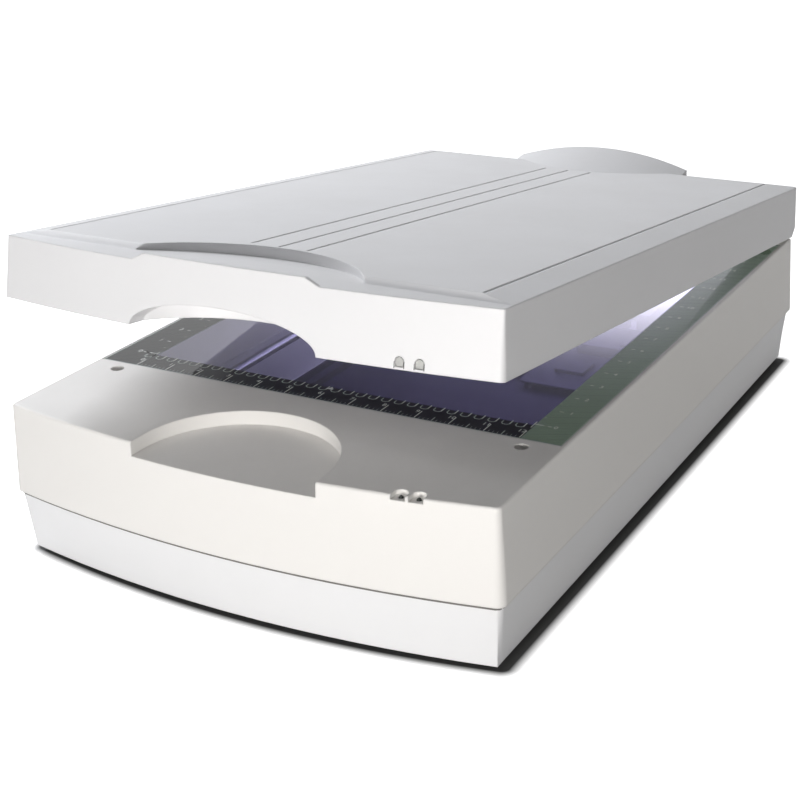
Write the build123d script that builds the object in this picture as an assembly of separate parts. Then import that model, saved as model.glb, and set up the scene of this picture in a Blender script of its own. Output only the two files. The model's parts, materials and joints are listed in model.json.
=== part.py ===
"""Large-format flatbed scanner with a lift-up transparency lid, one STEP file per piece.

Millimetres. +X to the operator's right, +Y to the rear, +Z up. While the pieces are made,
y = 0 is at the base's front corners and z = 0 is the table. The lid is made shut and then
swung to the opening it rests at. At the end everything moves along Y, so that the origin lies
on the table under the middle of the object's footprint.
"""
import math
import os

from build123d import *

# ---- Base housings -------------------------------------------------------------------------
BASE_WIDTH = 377.5          # at the seam, the widest level
BASE_DEPTH = 590.0          # front corners to rear wall, at the seam
BASE_BOW = 19.4             # how far the front swells ahead of its corners
BASE_FRONT_RADIUS = 7.0     # vertical corners
BASE_REAR_RADIUS = 8.0
FOOT_HEIGHT = 5.0
LOWER_HEIGHT = 44.8
UPPER_HEIGHT = 64.5
UPPER_DRAFT = 2.9           # degrees
LOWER_DRAFT = 6.0           # degrees
SEAM_SETBACK = 2.5          # lower housing stands back from the upper at the seam
SHELL = 2.6                 # wall of every moulded shell
FLOOR = 3.0                 # floor of the lower housing
DECK_THICKNESS = 6.0        # deck with its glass shelf
DECK_EDGE_RADIUS = 1.6
REAR_BEVEL_LENGTH = 4.2     # slope along the deck's rear edge
REAR_BEVEL_DROP = 2.9
SEAM_TONGUE = 5.0           # height of the lower housing's tongue inside the upper
SNUG = 0.2                  # gap round a piece seated in another
LOOSE = 0.3                 # least gap between moving pieces
RUNNING = 0.05              # radial gap of a turning fit

# ---- Glass bed -----------------------------------------------------------------------------
GLASS_WIDTH = 364.6
GLASS_FRONT = 97.5          # from the front corners to the glass's front edge
GLASS_LENGTH = 464.5
GLASS_THICKNESS = 3.0
GLASS_SHELF = 5.0           # width of the shelf under the glass's edge
GLASS_RECESS = 0.2          # glass lies this much under the deck
MASK_THICKNESS = 0.6
SCAN_WIDTH = 304.8
SCAN_LENGTH = 431.8
SCAN_FRONT = 122.6
STRIP_DEPTH = 11.0          # white calibration strip under the mask
STRIP_THICKNESS = 0.5

# ---- Deck features -------------------------------------------------------------------------
SCOOP_RADIUS = 70.0
SCOOP_CENTRE_Y = -2.0
SCOOP_DEPTH = 10.0
LOCATING_X = 160.0
LOCATING_Y = 86.5
LOCATING_RADIUS = 4.75
LED_X = (123.7, 135.0)
LED_SETBACK = 4.6           # well centre behind the deck's front edge
LED_WELL_RADIUS = 4.7
LED_WELL_DEPTH = 3.2
LED_RADIUS = 1.6
LED_LENGTH = 6.0

# ---- Lid -----------------------------------------------------------------------------------
LID_WIDTH = 370.4
LID_FRONT = 6.2             # front corners, from the base's
LID_DEPTH = 596.0
LID_BOW = 16.0
LID_CORNER_RADIUS = 4.0
LID_REAR_RADIUS = 6.0
LID_GAP = 0.9               # deck to shut lid
LID_HEIGHT = 41.8           # to the edge of its top
LID_DRAFT = 3.8             # degrees
LID_REST_OPEN = 7.38        # degrees
LID_MAX_OPEN = 62.0         # degrees, from shut
PANEL_RISE = 3.5            # raised middle of the lid's top
PANEL_HALF_WIDTH = 160.5
PANEL_FRONT = 25.0
PANEL_RAMP = 5.0
PANEL_REAR = 578.0          # the top slopes down behind this
GROOVE_WIDTH = 1.8
GROOVE_DEPTH = 1.3
GROOVE_X = (-29.0, -7.5, 14.0)
GROOVE_FRONT = 70.0
GROOVE_REAR = 536.0
EDGE_GROOVE_FRONT = 27.0
EDGE_GROOVE_REAR = 574.0
THUMB_RADIUS = 100.0
THUMB_CENTRE_Y = -33.0
THUMB_WALL = 7.4            # height of the arc wall at its middle
LIP_RISE = 4.7              # front lip above the lid's top edge
LIP_HALF_WIDTH = 59.0
LIP_SLANT = 9.5
LIP_THICKNESS = 3.0
ARCH_HALF_WIDTH = 69.0
ARCH_HEIGHT = 20.0
ARCH_PLAN_RADIUS = 78.0
ARCH_CENTRE_Y = -30.0
HUMP_RADIUS = 265.0
HUMP_RISE = 15.6
HUMP_LENGTH = 62.0
HUMP_HALF_WIDTH = 81.5
CHAMFER_LENGTH = 14.3       # rear lower edge of the lid, along Y
CHAMFER_HEIGHT = 11.8
LID_WINDOW_X = (122.5, 134.9)
LID_WINDOW_WIDTH = 5.6
LID_WINDOW_HEIGHT = 6.2
PLATE_THICKNESS = 3.0       # lid bottom frame
DIFFUSER_THICKNESS = 2.0
DIFFUSER_MARGIN = 6.6       # diffuser beyond the scan area, each side
BUMPER_RADIUS = 5.0
BUMPER_HEIGHT = 0.6

# ---- Hinges --------------------------------------------------------------------------------
HINGE_X = 168.0
HINGE_SETBACK = 6.0         # axis ahead of the base's rear wall
HINGE_RISE = 10.2           # axis above the deck
POST_WIDTH = 14.0
POST_DEPTH = 11.0
POST_BEHIND = 1.0           # rear face of the post's shaft, ahead of the axis
POST_LENGTH = 34.0          # below the deck
POST_HEAD_RADIUS = 6.0
HINGE_PIN_RADIUS = 3.0
OPEN_PIVOT_GAP = 0.4        # left post's bore round its pin
LIFT_TRAVEL = 20.0          # hinge posts rise this far for thick originals
SOCKET_WALL = 2.5
SOCKET_LENGTH = 28.0
EAR_THICKNESS = 2.0
EAR_DEPTH = 12.0
WASHER_THICKNESS = 0.6

# ---- Scan carriage and its drive -----------------------------------------------------------
CHASSIS_THICKNESS = 1.5
STANDOFF_HEIGHT = 6.0
BOARD_THICKNESS = 1.6
ROD_X = -150.0
ROD_Z = 66.0
ROD_RADIUS = 4.0
ROD_FRONT = 18.0
ROD_REAR = 576.0
HOLDER_WIDTH = 20.0
HOLDER_DEPTH = 12.0
RAIL_X = 149.0
RAIL_WIDTH = 12.0
RAIL_TOP = 62.0
RAIL_THICKNESS = 4.0
CARRIAGE_LEFT = -138.0
CARRIAGE_RIGHT = 141.0
CARRIAGE_FRONT = 42.0
CARRIAGE_DEPTH = 86.0
CARRIAGE_BOTTOM = 58.0
CARRIAGE_HEIGHT = 38.0
CARRIAGE_WALL = 2.5
CARRIAGE_TRAVEL = 436.0
LAMP_RADIUS = 2.0
LAMP_SPREAD = 8.0           # lamps stand this far each side of the scan line
LAMP_Z = 100.0
MIRRORS = ((0, 8, 45), (30, 9, -20), (16, 24, 20))  # ahead of the scan line, rise, tilt
LENS_RADIUS = 9.0
LENS_SETBACK = 18.0
LENS_RISE = 13.0
BUSHING_RADIUS = 6.5
BUSHING_LENGTH = 12.0
ROLLER_RADIUS = 6.0
ROLLER_WIDTH = 6.0
ROLLER_AXLE_RADIUS = 1.5
BELT_X = -110.0
BELT_FRONT = 30.0
BELT_REAR = 558.0
BELT_Z = 44.0
BELT_HEIGHT = 6.0
BELT_THICKNESS = 1.2
PULLEY_RADIUS = 7.3
FLANGE_RADIUS = 9.6
FLANGE_THICKNESS = 1.0
WHEEL_RADIUS = 17.0
WHEEL_Z = 36.0
WHEEL_HEIGHT = 5.5
MOTOR_X = -62.0
MOTOR_SIZE = 36.0
MOTOR_TOP = 33.0
MOTOR_PULLEY_RADIUS = 5.0
PIVOT_RADIUS = 2.5
PULLEY_TEETH = 24
TOOTH_DEPTH = 0.6

# ---- Lid lamp carriage and its drive -------------------------------------------------------
LID_ROD_X = -170.0
LID_ROD_RADIUS = 3.0
LID_ROD_HEIGHT = 23.0       # above the lid's underside
LID_ROD_FRONT = 64.0
LID_ROD_REAR = 566.0
LID_CARRIAGE_FRONT = 80.0
LID_CARRIAGE_DEPTH = 42.0
LID_CARRIAGE_RIGHT = 162.0
GLIDE_X = 163.0             # right face of the rail that the lid's carriage glides on
GLIDE_HEIGHT = 6.0
LID_CARRIAGE_BOTTOM = 11.0
LID_CARRIAGE_HEIGHT = 22.0
LID_TRAVEL = 430.0
LID_BELT_X = 170.5
LID_BELT_FRONT = 74.0
LID_BELT_REAR = 560.0
LID_BELT_RISE = 14.0        # belt's lower edge above the lid's underside
LID_BELT_HEIGHT = 4.0
LID_PULLEY_RADIUS = 4.2
LID_MOTOR_RADIUS = 8.0
LID_MOTOR_HEIGHT = 14.0
LID_PIVOT_RADIUS = 1.5

# ---- Rear connectors and controls ----------------------------------------------------------
INLET_X = -45.0
INLET_WIDTH = 28.0
INLET_HEIGHT = 20.0
CONNECTOR_Z = 28.0
SWITCH_X = -14.0
SWITCH_WIDTH = 16.0
SWITCH_HEIGHT = 20.0
SWITCH_TILT = 9.0           # degrees, rocker at off
SWITCH_PIVOT_RADIUS = 1.2
SWITCH_PIVOT_REACH = 1.2    # each pivot beyond the rocker's side
SWITCH_WALL = 2.0
PORT_PANEL_LEFT = 25.0
PORT_PANEL_RIGHT = 129.0
PORT_PANEL_HEIGHT = 24.0
PORT_RIM = 1.4
LOCK_X = 60.0
LOCK_Y = 60.0
LOCK_DISC_RADIUS = 12.5
LOCK_PIN_RADIUS = 3.0
LOCK_TRAVEL = 8.0
LOCK_RECESS = 1.0
FOOT_RADIUS = 9.0
FOOT_INSET_X = 38.0
FOOT_INSET_Y = 48.0
SCREW_RADIUS = 1.5
SLOT_WIDTH = 0.8
SLOT_DEPTH = 0.7
BOSS_RADIUS = 4.5
BOSS_X_FRONT = 171.0
BOSS_Y_FRONT = 30.0
BOSS_X_REAR = 125.0
BOSS_Y_REAR = 577.0
GLAND_X = 118.0
GLAND_RADIUS = 7.0
GLAND_BORE = 4.0

# ---- Levels and places that follow from them -----------------------------------------------
SEAM_Z = FOOT_HEIGHT + LOWER_HEIGHT
DECK_Z = SEAM_Z + UPPER_HEIGHT
DECK_UNDERSIDE = DECK_Z - DECK_THICKNESS
FLOOR_Z = FOOT_HEIGHT + FLOOR
CHASSIS_TOP = FLOOR_Z + CHASSIS_THICKNESS
BOARD_Z = CHASSIS_TOP + STANDOFF_HEIGHT
GLASS_TOP = DECK_Z - GLASS_RECESS
GLASS_BOTTOM = GLASS_TOP - GLASS_THICKNESS
SHELF_TOP = GLASS_BOTTOM - MASK_THICKNESS
SCAN_LINE = CARRIAGE_FRONT + CARRIAGE_DEPTH - LAMP_SPREAD - 6.0
CARRIAGE_TOP = CARRIAGE_BOTTOM + CARRIAGE_HEIGHT
LID_BOTTOM = DECK_Z + LID_GAP
LID_EDGE_Z = LID_BOTTOM + LID_HEIGHT
PANEL_Z = LID_EDGE_Z + PANEL_RISE
LID_REAR = LID_FRONT + LID_DEPTH
LID_CEILING = LID_EDGE_Z - SHELL
HINGE_Y = BASE_DEPTH - HINGE_SETBACK
HINGE_Z = DECK_Z + HINGE_RISE
LID_ROD_Z = LID_BOTTOM + LID_ROD_HEIGHT
LID_BELT_Z = LID_BOTTOM + LID_BELT_RISE
LID_FRAME_TOP = LID_BOTTOM + PLATE_THICKNESS
BIG = 1000.0                # longer than the object, for cutting tools


# ---- Shape helpers -------------------------------------------------------------------------
def block(x0, x1, y0, y1, z0, z1):
    """A box between two corners."""
    middle = Pos((x0 + x1) / 2, (y0 + y1) / 2, (z0 + z1) / 2)
    return middle * Box(abs(x1 - x0), abs(y1 - y0), abs(z1 - z0))


def upright(radius, x, y, z0, z1):
    """A cylinder along Z."""
    return Pos(x, y, (z0 + z1) / 2) * Cylinder(radius, z1 - z0)


def crosswise(radius, y, z, x0, x1):
    """A cylinder along X."""
    return Pos((x0 + x1) / 2, y, z) * Rot(0, 90, 0) * Cylinder(radius, x1 - x0)


def lengthwise(radius, x, z, y0, y1):
    """A cylinder along Y."""
    return Pos(x, (y0 + y1) / 2, z) * Rot(90, 0, 0) * Cylinder(radius, y1 - y0)


def side_prism(points, x0, x1):
    """A prism along X from points (y, z)."""
    wire = Polyline([(x0, y, z) for y, z in points], close=True)
    return extrude(make_face(wire), amount=x1 - x0, dir=(1, 0, 0))


def front_prism(points, y0, y1):
    """A prism along Y from points (x, z)."""
    wire = Polyline([(x, y0, z) for x, z in points], close=True)
    return extrude(make_face(wire), amount=y1 - y0, dir=(0, 1, 0))


def bow_radius(width, bow):
    """Radius of the front's arc from its chord and its swell."""
    return (width * width / 4 + bow * bow) / (2 * bow)


def bow_y(width, front, bow, x):
    """Y of the front's arc at x."""
    radius = bow_radius(width, bow)
    return front - bow + radius - math.sqrt(radius * radius - x * x)


def outline(width, front, rear, bow, front_radius, rear_radius, inset, z):
    """Plan of a housing with a bowed front, drawn in by an inset, at height z."""
    radius = bow_radius(width, bow)
    centre_y = front - bow + radius
    half = width / 2 - inset
    corner_y = centre_y - math.sqrt((radius - inset) ** 2 - half * half)
    apex = (0, centre_y - radius + inset)
    back = rear - inset
    edges = [
        ThreePointArc((-half, corner_y), apex, (half, corner_y)),
        Line((half, corner_y), (half, back)),
        Line((half, back), (-half, back)),
        Line((-half, back), (-half, corner_y)),
    ]
    face = make_face(edges)
    fronts = face.vertices().filter_by(lambda v: v.Y < back / 2)
    face = fillet(fronts, max(front_radius - inset, 1.0))
    rears = face.vertices().filter_by(lambda v: v.Y > back - 0.01)
    face = fillet(rears, max(rear_radius - inset, 1.0))
    return Pos(0, 0, z) * face


def base_outline(inset, z):
    return outline(BASE_WIDTH, 0, BASE_DEPTH, BASE_BOW, BASE_FRONT_RADIUS, BASE_REAR_RADIUS, inset, z)


def lid_outline(inset, z):
    return outline(LID_WIDTH, LID_FRONT, LID_REAR, LID_BOW, LID_CORNER_RADIUS, LID_REAR_RADIUS, inset, z)


def rising(face, height, draft):
    """Solid standing on a plan, its sides leaning inwards."""
    return extrude(face, amount=height, taper=draft)


def hanging(face, height, draft):
    """Solid hanging from a plan, its sides leaning inwards."""
    return extrude(face, amount=height, dir=(0, 0, -1), taper=draft)


def mirrored_pair(shape):
    """A shape and its mirror image across the middle of the object."""
    return [shape, mirror(shape, Plane.YZ)]


def group(shapes):
    """Separate solids kept together as one node."""
    solids = []
    for shape in shapes:
        solids.extend(shape.solids())
    return Compound(solids)


def toothed(radius, x, y, z0, z1, teeth):
    """A pulley rim with straight grooves."""
    rim = upright(radius, x, y, z0, z1)
    for tooth in range(teeth):
        angle = 2 * math.pi * tooth / teeth
        notch = Pos(x + radius * math.cos(angle), y + radius * math.sin(angle), (z0 + z1) / 2)
        rim -= notch * Cylinder(TOOTH_DEPTH, z1 - z0)
    return rim


def belt_loop(x, y0, y1, inner_radius, z0, height, thickness):
    """A belt round two equal pulleys that stand at y0 and y1."""
    def band(radius):
        straight = block(x - radius, x + radius, y0, y1, z0, z0 + height)
        ends = upright(radius, x, y0, z0, z0 + height) + upright(radius, x, y1, z0, z0 + height)
        return straight + ends
    return band(inner_radius + thickness) - band(inner_radius)


# ---- Base housings -------------------------------------------------------------------------
def deck_edge_y(x):
    """Y of the deck's front edge at x."""
    return bow_y(BASE_WIDTH, 0, BASE_BOW, x) + UPPER_HEIGHT * math.tan(math.radians(UPPER_DRAFT))


def led_places():
    return [(x, deck_edge_y(x) + LED_SETBACK) for x in LED_X]


def boss_places():
    places = []
    for side in (-1, 1):
        places.append((side * BOSS_X_FRONT, BOSS_Y_FRONT))
        places.append((side * BOSS_X_REAR, BOSS_Y_REAR))
    return places


def post_opening(side, gap, z0, z1):
    """The space that a hinge post's shaft passes through."""
    x = side * HINGE_X
    half = POST_WIDTH / 2 + gap
    rear = HINGE_Y - POST_BEHIND
    return block(x - half, x + half, rear - POST_DEPTH - gap, rear + gap, z0, z1)


def scoop(radius, z0, z1):
    """Room for a thumb at the middle of the deck's front edge: round at the back, straight at the sides."""
    room = upright(radius, 0, SCOOP_CENTRE_Y, z0, z1)
    return room + block(-radius, radius, -2 * BASE_BOW, SCOOP_CENTRE_Y, z0, z1)


def upper_housing():
    body = rising(base_outline(0, SEAM_Z), UPPER_HEIGHT, UPPER_DRAFT)
    body = fillet(body.faces().sort_by(Axis.Z)[-1].edges(), DECK_EDGE_RADIUS)
    scoop_floor = DECK_Z - SCOOP_DEPTH
    cavity = rising(base_outline(SHELL, SEAM_Z), UPPER_HEIGHT - DECK_THICKNESS, UPPER_DRAFT)
    cavity -= scoop(SCOOP_RADIUS + SHELL, scoop_floor - SHELL, DECK_Z)
    body -= cavity
    half = GLASS_WIDTH / 2
    rear = GLASS_FRONT + GLASS_LENGTH
    body -= block(-half - SNUG, half + SNUG, GLASS_FRONT - SNUG, rear + SNUG, SHELF_TOP, DECK_Z + FLOOR)
    window = GLASS_SHELF
    body -= block(-half + window, half - window, GLASS_FRONT + window, rear - window, SEAM_Z, DECK_Z)
    body -= scoop(SCOOP_RADIUS, scoop_floor, DECK_Z + FLOOR)
    for side in (-1, 1):
        body -= upright(LOCATING_RADIUS, side * LOCATING_X, LOCATING_Y, DECK_UNDERSIDE, DECK_Z + FLOOR)
        body -= post_opening(side, LOOSE, DECK_UNDERSIDE - FLOOR, DECK_Z + FLOOR)
    for x, y in led_places():
        well = upright(LED_WELL_RADIUS, x, y, DECK_Z - LED_WELL_DEPTH, DECK_Z + FLOOR)
        body -= well + block(x - LED_WELL_RADIUS, x + LED_WELL_RADIUS, y - BASE_BOW, y,
                             DECK_Z - LED_WELL_DEPTH, DECK_Z + FLOOR)
        body -= upright(LED_RADIUS + SNUG, x, y, DECK_UNDERSIDE - FLOOR, DECK_Z)
    for x, y in boss_places():
        post = upright(BOSS_RADIUS, x, y, SEAM_Z, DECK_UNDERSIDE)
        body += post - upright(SCREW_RADIUS, x, y, SEAM_Z, DECK_UNDERSIDE - FLOOR)
    return body - rear_bevel()


def rear_bevel():
    """Slope taken off the deck's rear edge, which the lid swings past."""
    edge = BASE_DEPTH - UPPER_HEIGHT * math.tan(math.radians(UPPER_DRAFT))
    slope = REAR_BEVEL_DROP / REAR_BEVEL_LENGTH
    start = edge - REAR_BEVEL_LENGTH
    reach = 3 * REAR_BEVEL_LENGTH
    return side_prism([(start - reach, DECK_Z + reach * slope), (start + reach, DECK_Z - reach * slope),
                       (start + reach, DECK_Z + reach * slope)], -BIG / 2, BIG / 2)


def lower_housing():
    body = hanging(base_outline(SEAM_SETBACK, SEAM_Z), LOWER_HEIGHT, LOWER_DRAFT)
    tongue_inset = SHELL + SNUG
    body += rising(base_outline(tongue_inset, SEAM_Z), SEAM_TONGUE, UPPER_DRAFT)
    inner = SEAM_SETBACK + SHELL
    body -= hanging(base_outline(inner, SEAM_Z), LOWER_HEIGHT - FLOOR, LOWER_DRAFT)
    body -= rising(base_outline(inner, SEAM_Z), SEAM_TONGUE, UPPER_DRAFT)
    for x, y in boss_places():
        body += upright(BOSS_RADIUS, x, y, FLOOR_Z - 1, SEAM_Z)
        body -= upright(SCREW_RADIUS, x, y, FOOT_HEIGHT, SEAM_Z)
        body -= upright(SCREW_RADIUS * 2 + SNUG, x, y, FOOT_HEIGHT, FOOT_HEIGHT + 2)
    well_top = FOOT_HEIGHT + LOCK_RECESS + FLOOR + LOCK_TRAVEL + 2 * LOOSE + FLOOR
    well = LOCK_DISC_RADIUS + LOOSE
    body += upright(well + SHELL, LOCK_X, LOCK_Y, FOOT_HEIGHT, well_top)
    body -= upright(well, LOCK_X, LOCK_Y, FOOT_HEIGHT, well_top - FLOOR)
    body -= upright(LOCK_PIN_RADIUS + RUNNING, LOCK_X, LOCK_Y, FOOT_HEIGHT, well_top)
    for x0, x1, height in rear_cutouts():
        z0 = CONNECTOR_Z - height / 2
        body -= block(x0, x1, BASE_DEPTH - 2 * BASE_REAR_RADIUS, BASE_DEPTH, z0, z0 + height)
    return body


def rear_cutouts():
    """Left, right and height of each opening in the lower housing's rear wall."""
    inlet = (INLET_X - INLET_WIDTH / 2, INLET_X + INLET_WIDTH / 2, INLET_HEIGHT)
    switch = (SWITCH_X - SWITCH_WIDTH / 2, SWITCH_X + SWITCH_WIDTH / 2, SWITCH_HEIGHT)
    ports = (PORT_PANEL_LEFT, PORT_PANEL_RIGHT, PORT_PANEL_HEIGHT)
    return [inlet, switch, ports]


def rear_face_y():
    """Y of the lower housing's rear face at the connectors' height."""
    drop = SEAM_Z - CONNECTOR_Z
    return BASE_DEPTH - SEAM_SETBACK - drop * math.tan(math.radians(LOWER_DRAFT))


def rubber_feet():
    feet = []
    for x in (-BASE_WIDTH / 2 + FOOT_INSET_X, BASE_WIDTH / 2 - FOOT_INSET_X):
        for y in (FOOT_INSET_Y, BASE_DEPTH - FOOT_INSET_Y):
            foot = upright(FOOT_RADIUS, x, y, 0, FOOT_HEIGHT)
            feet.append(chamfer(foot.faces().sort_by(Axis.Z)[0].edges(), 0.8))
    return group(feet)


def screw_slot(x, y, z):
    """Driver slot in a screw's head, whose face is at z."""
    half = 2 * SCREW_RADIUS
    return block(x - half, x + half, y - SLOT_WIDTH / 2, y + SLOT_WIDTH / 2, z - 1, z + SLOT_DEPTH)


def case_screws():
    screws = []
    for x, y in boss_places():
        head = upright(SCREW_RADIUS * 2, x, y, FOOT_HEIGHT + 0.3, FOOT_HEIGHT + 2)
        shank = upright(SCREW_RADIUS, x, y, FOOT_HEIGHT + 2, SEAM_Z + 12)
        slot = screw_slot(x, y, FOOT_HEIGHT + 0.3)
        screws.append(head + shank - slot)
    return group(screws)


def glass_bed():
    half = GLASS_WIDTH / 2
    rear = GLASS_FRONT + GLASS_LENGTH
    plate = block(-half, half, GLASS_FRONT, rear, GLASS_BOTTOM, GLASS_TOP)
    return chamfer(plate.faces().sort_by(Axis.Z)[-1].edges(), 0.4)


def ruler_mask():
    half = GLASS_WIDTH / 2
    rear = GLASS_FRONT + GLASS_LENGTH
    frame = block(-half, half, GLASS_FRONT, rear, SHELF_TOP, GLASS_BOTTOM)
    return frame - block(-SCAN_WIDTH / 2, SCAN_WIDTH / 2, SCAN_FRONT, SCAN_FRONT + SCAN_LENGTH,
                         SHELF_TOP, GLASS_BOTTOM)


def calibration_strip():
    rear = SCAN_FRONT - 4
    return block(-SCAN_WIDTH / 2, SCAN_WIDTH / 2, rear - STRIP_DEPTH, rear, SHELF_TOP - STRIP_THICKNESS,
                 SHELF_TOP)


def status_leds():
    lamps = []
    for x, y in led_places():
        top = DECK_Z - LED_WELL_DEPTH
        lamp = upright(LED_RADIUS, x, y, top - LED_LENGTH, top)
        lamps.append(lamp + Pos(x, y, top) * Sphere(LED_RADIUS))
    return group(lamps)


def hinge_sockets():
    """Sleeves under the deck that guide the hinge posts, shaped to the housing's wall."""
    bottom = DECK_UNDERSIDE - SOCKET_LENGTH
    room = rising(base_outline(SHELL, SEAM_Z), UPPER_HEIGHT - DECK_THICKNESS, UPPER_DRAFT)
    sleeves = []
    for side in (-1, 1):
        sleeve = post_opening(side, LOOSE + SOCKET_WALL, bottom, DECK_UNDERSIDE) & room
        sleeves.append(sleeve - post_opening(side, LOOSE, bottom, DECK_UNDERSIDE))
    return group(sleeves)


def hinge_post(side, pin_gap):
    """Post that slides in its socket and carries the lid's hinge pin."""
    x = side * HINGE_X
    half = POST_WIDTH / 2
    post = post_opening(side, 0, DECK_Z - POST_LENGTH, HINGE_Z)
    post += crosswise(POST_HEAD_RADIUS, HINGE_Y, HINGE_Z, x - half, x + half)
    return post - crosswise(HINGE_PIN_RADIUS + pin_gap, HINGE_Y, HINGE_Z, x - half, x + half)


# ---- Chassis and drive ---------------------------------------------------------------------
def chassis_plate():
    half = BASE_WIDTH / 2 - SEAM_SETBACK - SHELL - LOWER_HEIGHT * math.tan(math.radians(LOWER_DRAFT)) - 4
    plate = block(-half, half, 14, BASE_DEPTH - 22, FLOOR_Z, CHASSIS_TOP)
    for x, y in boss_places():
        plate -= upright(BOSS_RADIUS + 1, x, y, FLOOR_Z, CHASSIS_TOP)
    plate -= upright(LOCK_DISC_RADIUS + LOOSE + SHELL + 1, LOCK_X, LOCK_Y, FLOOR_Z, CHASSIS_TOP)
    for x, y in standoff_places():
        plate += upright(3, x, y, CHASSIS_TOP, BOARD_Z)
    plate += block(BELT_X - 12, BELT_X + 12, BELT_REAR - 14, BELT_REAR + 10, CHASSIS_TOP, CHASSIS_TOP + 4)
    plate += upright(7, BELT_X, BELT_REAR, CHASSIS_TOP, BELT_Z - FLANGE_THICKNESS - 1 - LOOSE)
    return plate - upright(PIVOT_RADIUS, BELT_X, BELT_REAR, CHASSIS_TOP, BELT_Z)


def standoff_places():
    places = []
    for x0, x1, y0, y1 in ((16, 134, 406, 550), (-64, 0, 426, 550)):
        for x in (x0, x1):
            for y in (y0, y1):
                places.append((x, y))
    return places


def guide_rod():
    return chamfer(lengthwise(ROD_RADIUS, ROD_X, ROD_Z, ROD_FRONT, ROD_REAR).edges(), 0.5)


def rod_holders():
    holders = []
    for y in (ROD_FRONT + 2, ROD_REAR - HOLDER_DEPTH):
        half = HOLDER_WIDTH / 2
        foot = block(ROD_X - half, ROD_X + half, y, y + HOLDER_DEPTH, CHASSIS_TOP, ROD_Z + ROD_RADIUS * 2)
        foot -= block(ROD_X - half / 2, ROD_X + half / 2, y, y + HOLDER_DEPTH, CHASSIS_TOP + 10, ROD_Z - 12)
        holders.append(foot - lengthwise(ROD_RADIUS, ROD_X, ROD_Z, y, y + HOLDER_DEPTH))
    return group(holders)


def support_rail():
    half = RAIL_WIDTH / 2
    underside = RAIL_TOP - RAIL_THICKNESS
    rail = block(RAIL_X - half, RAIL_X + half, ROD_FRONT + 2, ROD_REAR - 2, underside, RAIL_TOP)
    middle = (ROD_FRONT + ROD_REAR) / 2
    for y in (ROD_FRONT + 2, middle, ROD_REAR - 12):
        rail += block(RAIL_X - half / 2, RAIL_X + half / 2, y, y + 10, CHASSIS_TOP, underside)
    return rail


def timing_belt():
    inner = PULLEY_RADIUS + LOOSE
    return belt_loop(BELT_X, BELT_FRONT, BELT_REAR, inner, BELT_Z, BELT_HEIGHT, BELT_THICKNESS)


def flanged_pulley(y):
    """Small toothed pulley with a flange above and below the timing belt."""
    low = BELT_Z - 1
    high = BELT_Z + BELT_HEIGHT + 1
    pulley = toothed(PULLEY_RADIUS, BELT_X, y, low, high, PULLEY_TEETH)
    for z in (low - FLANGE_THICKNESS, high):
        pulley += upright(FLANGE_RADIUS, BELT_X, y, z, z + FLANGE_THICKNESS)
    return pulley


def drive_pulley():
    pulley = flanged_pulley(BELT_FRONT)
    pulley += toothed(WHEEL_RADIUS, BELT_X, BELT_FRONT, WHEEL_Z, WHEEL_Z + WHEEL_HEIGHT, 2 * PULLEY_TEETH)
    pulley += upright(PULLEY_RADIUS, BELT_X, BELT_FRONT, WHEEL_Z, BELT_Z)
    return pulley - upright(PIVOT_RADIUS + RUNNING, BELT_X, BELT_FRONT, WHEEL_Z, BELT_Z + 2 * BELT_HEIGHT)


def idler_pulley():
    pulley = flanged_pulley(BELT_REAR)
    return pulley - upright(PIVOT_RADIUS + RUNNING, BELT_X, BELT_REAR, BELT_Z - 4, BELT_Z + 2 * BELT_HEIGHT)


def pulley_axles():
    top = BELT_Z + BELT_HEIGHT + 4
    axles = []
    for y in (BELT_FRONT, BELT_REAR):
        axle = upright(PIVOT_RADIUS, BELT_X, y, CHASSIS_TOP, top)
        axles.append(axle + upright(PIVOT_RADIUS + 1.5, BELT_X, y, top - 1.2, top))
    axles[0] += upright(PIVOT_RADIUS + 2.5, BELT_X, BELT_FRONT, CHASSIS_TOP, WHEEL_Z - LOOSE)
    return group(axles)


def drive_motor():
    half = MOTOR_SIZE / 2
    body = block(MOTOR_X - half, MOTOR_X + half, BELT_FRONT - half, BELT_FRONT + half, CHASSIS_TOP, MOTOR_TOP)
    body = chamfer(body.edges().filter_by(Axis.Z), 3)
    body += upright(half * 0.6, MOTOR_X, BELT_FRONT, MOTOR_TOP, MOTOR_TOP + 1.5)
    return body - upright(PIVOT_RADIUS + RUNNING, MOTOR_X, BELT_FRONT, MOTOR_TOP - 10, MOTOR_TOP + 2)


def motor_pulley():
    top = WHEEL_Z + WHEEL_HEIGHT
    rim = toothed(MOTOR_PULLEY_RADIUS, MOTOR_X, BELT_FRONT, WHEEL_Z, top, PULLEY_TEETH // 2)
    shaft = upright(PIVOT_RADIUS, MOTOR_X, BELT_FRONT, MOTOR_TOP - 9, WHEEL_Z)
    collar = upright(MOTOR_PULLEY_RADIUS + 2, MOTOR_X, BELT_FRONT, top, top + FLANGE_THICKNESS)
    return rim + shaft + collar


def reduction_belt():
    z0 = WHEEL_Z + 0.5
    height = WHEEL_HEIGHT - 1

    def band(grow):
        big = WHEEL_RADIUS + LOOSE + grow
        small = MOTOR_PULLEY_RADIUS + LOOSE + grow
        span = MOTOR_X - BELT_X
        slope = math.asin((big - small) / span)
        corners = []
        for sign in (1, -1):
            corners.append((BELT_X + big * math.sin(slope), BELT_FRONT + sign * big * math.cos(slope)))
        for sign in (-1, 1):
            corners.append((MOTOR_X + small * math.sin(slope), BELT_FRONT + sign * small * math.cos(slope)))
        web = extrude(Pos(0, 0, z0) * make_face(Polyline(corners, close=True)), amount=height)
        return (web + upright(big, BELT_X, BELT_FRONT, z0, z0 + height)
                + upright(small, MOTOR_X, BELT_FRONT, z0, z0 + height))

    return band(BELT_THICKNESS) - band(0)


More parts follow.
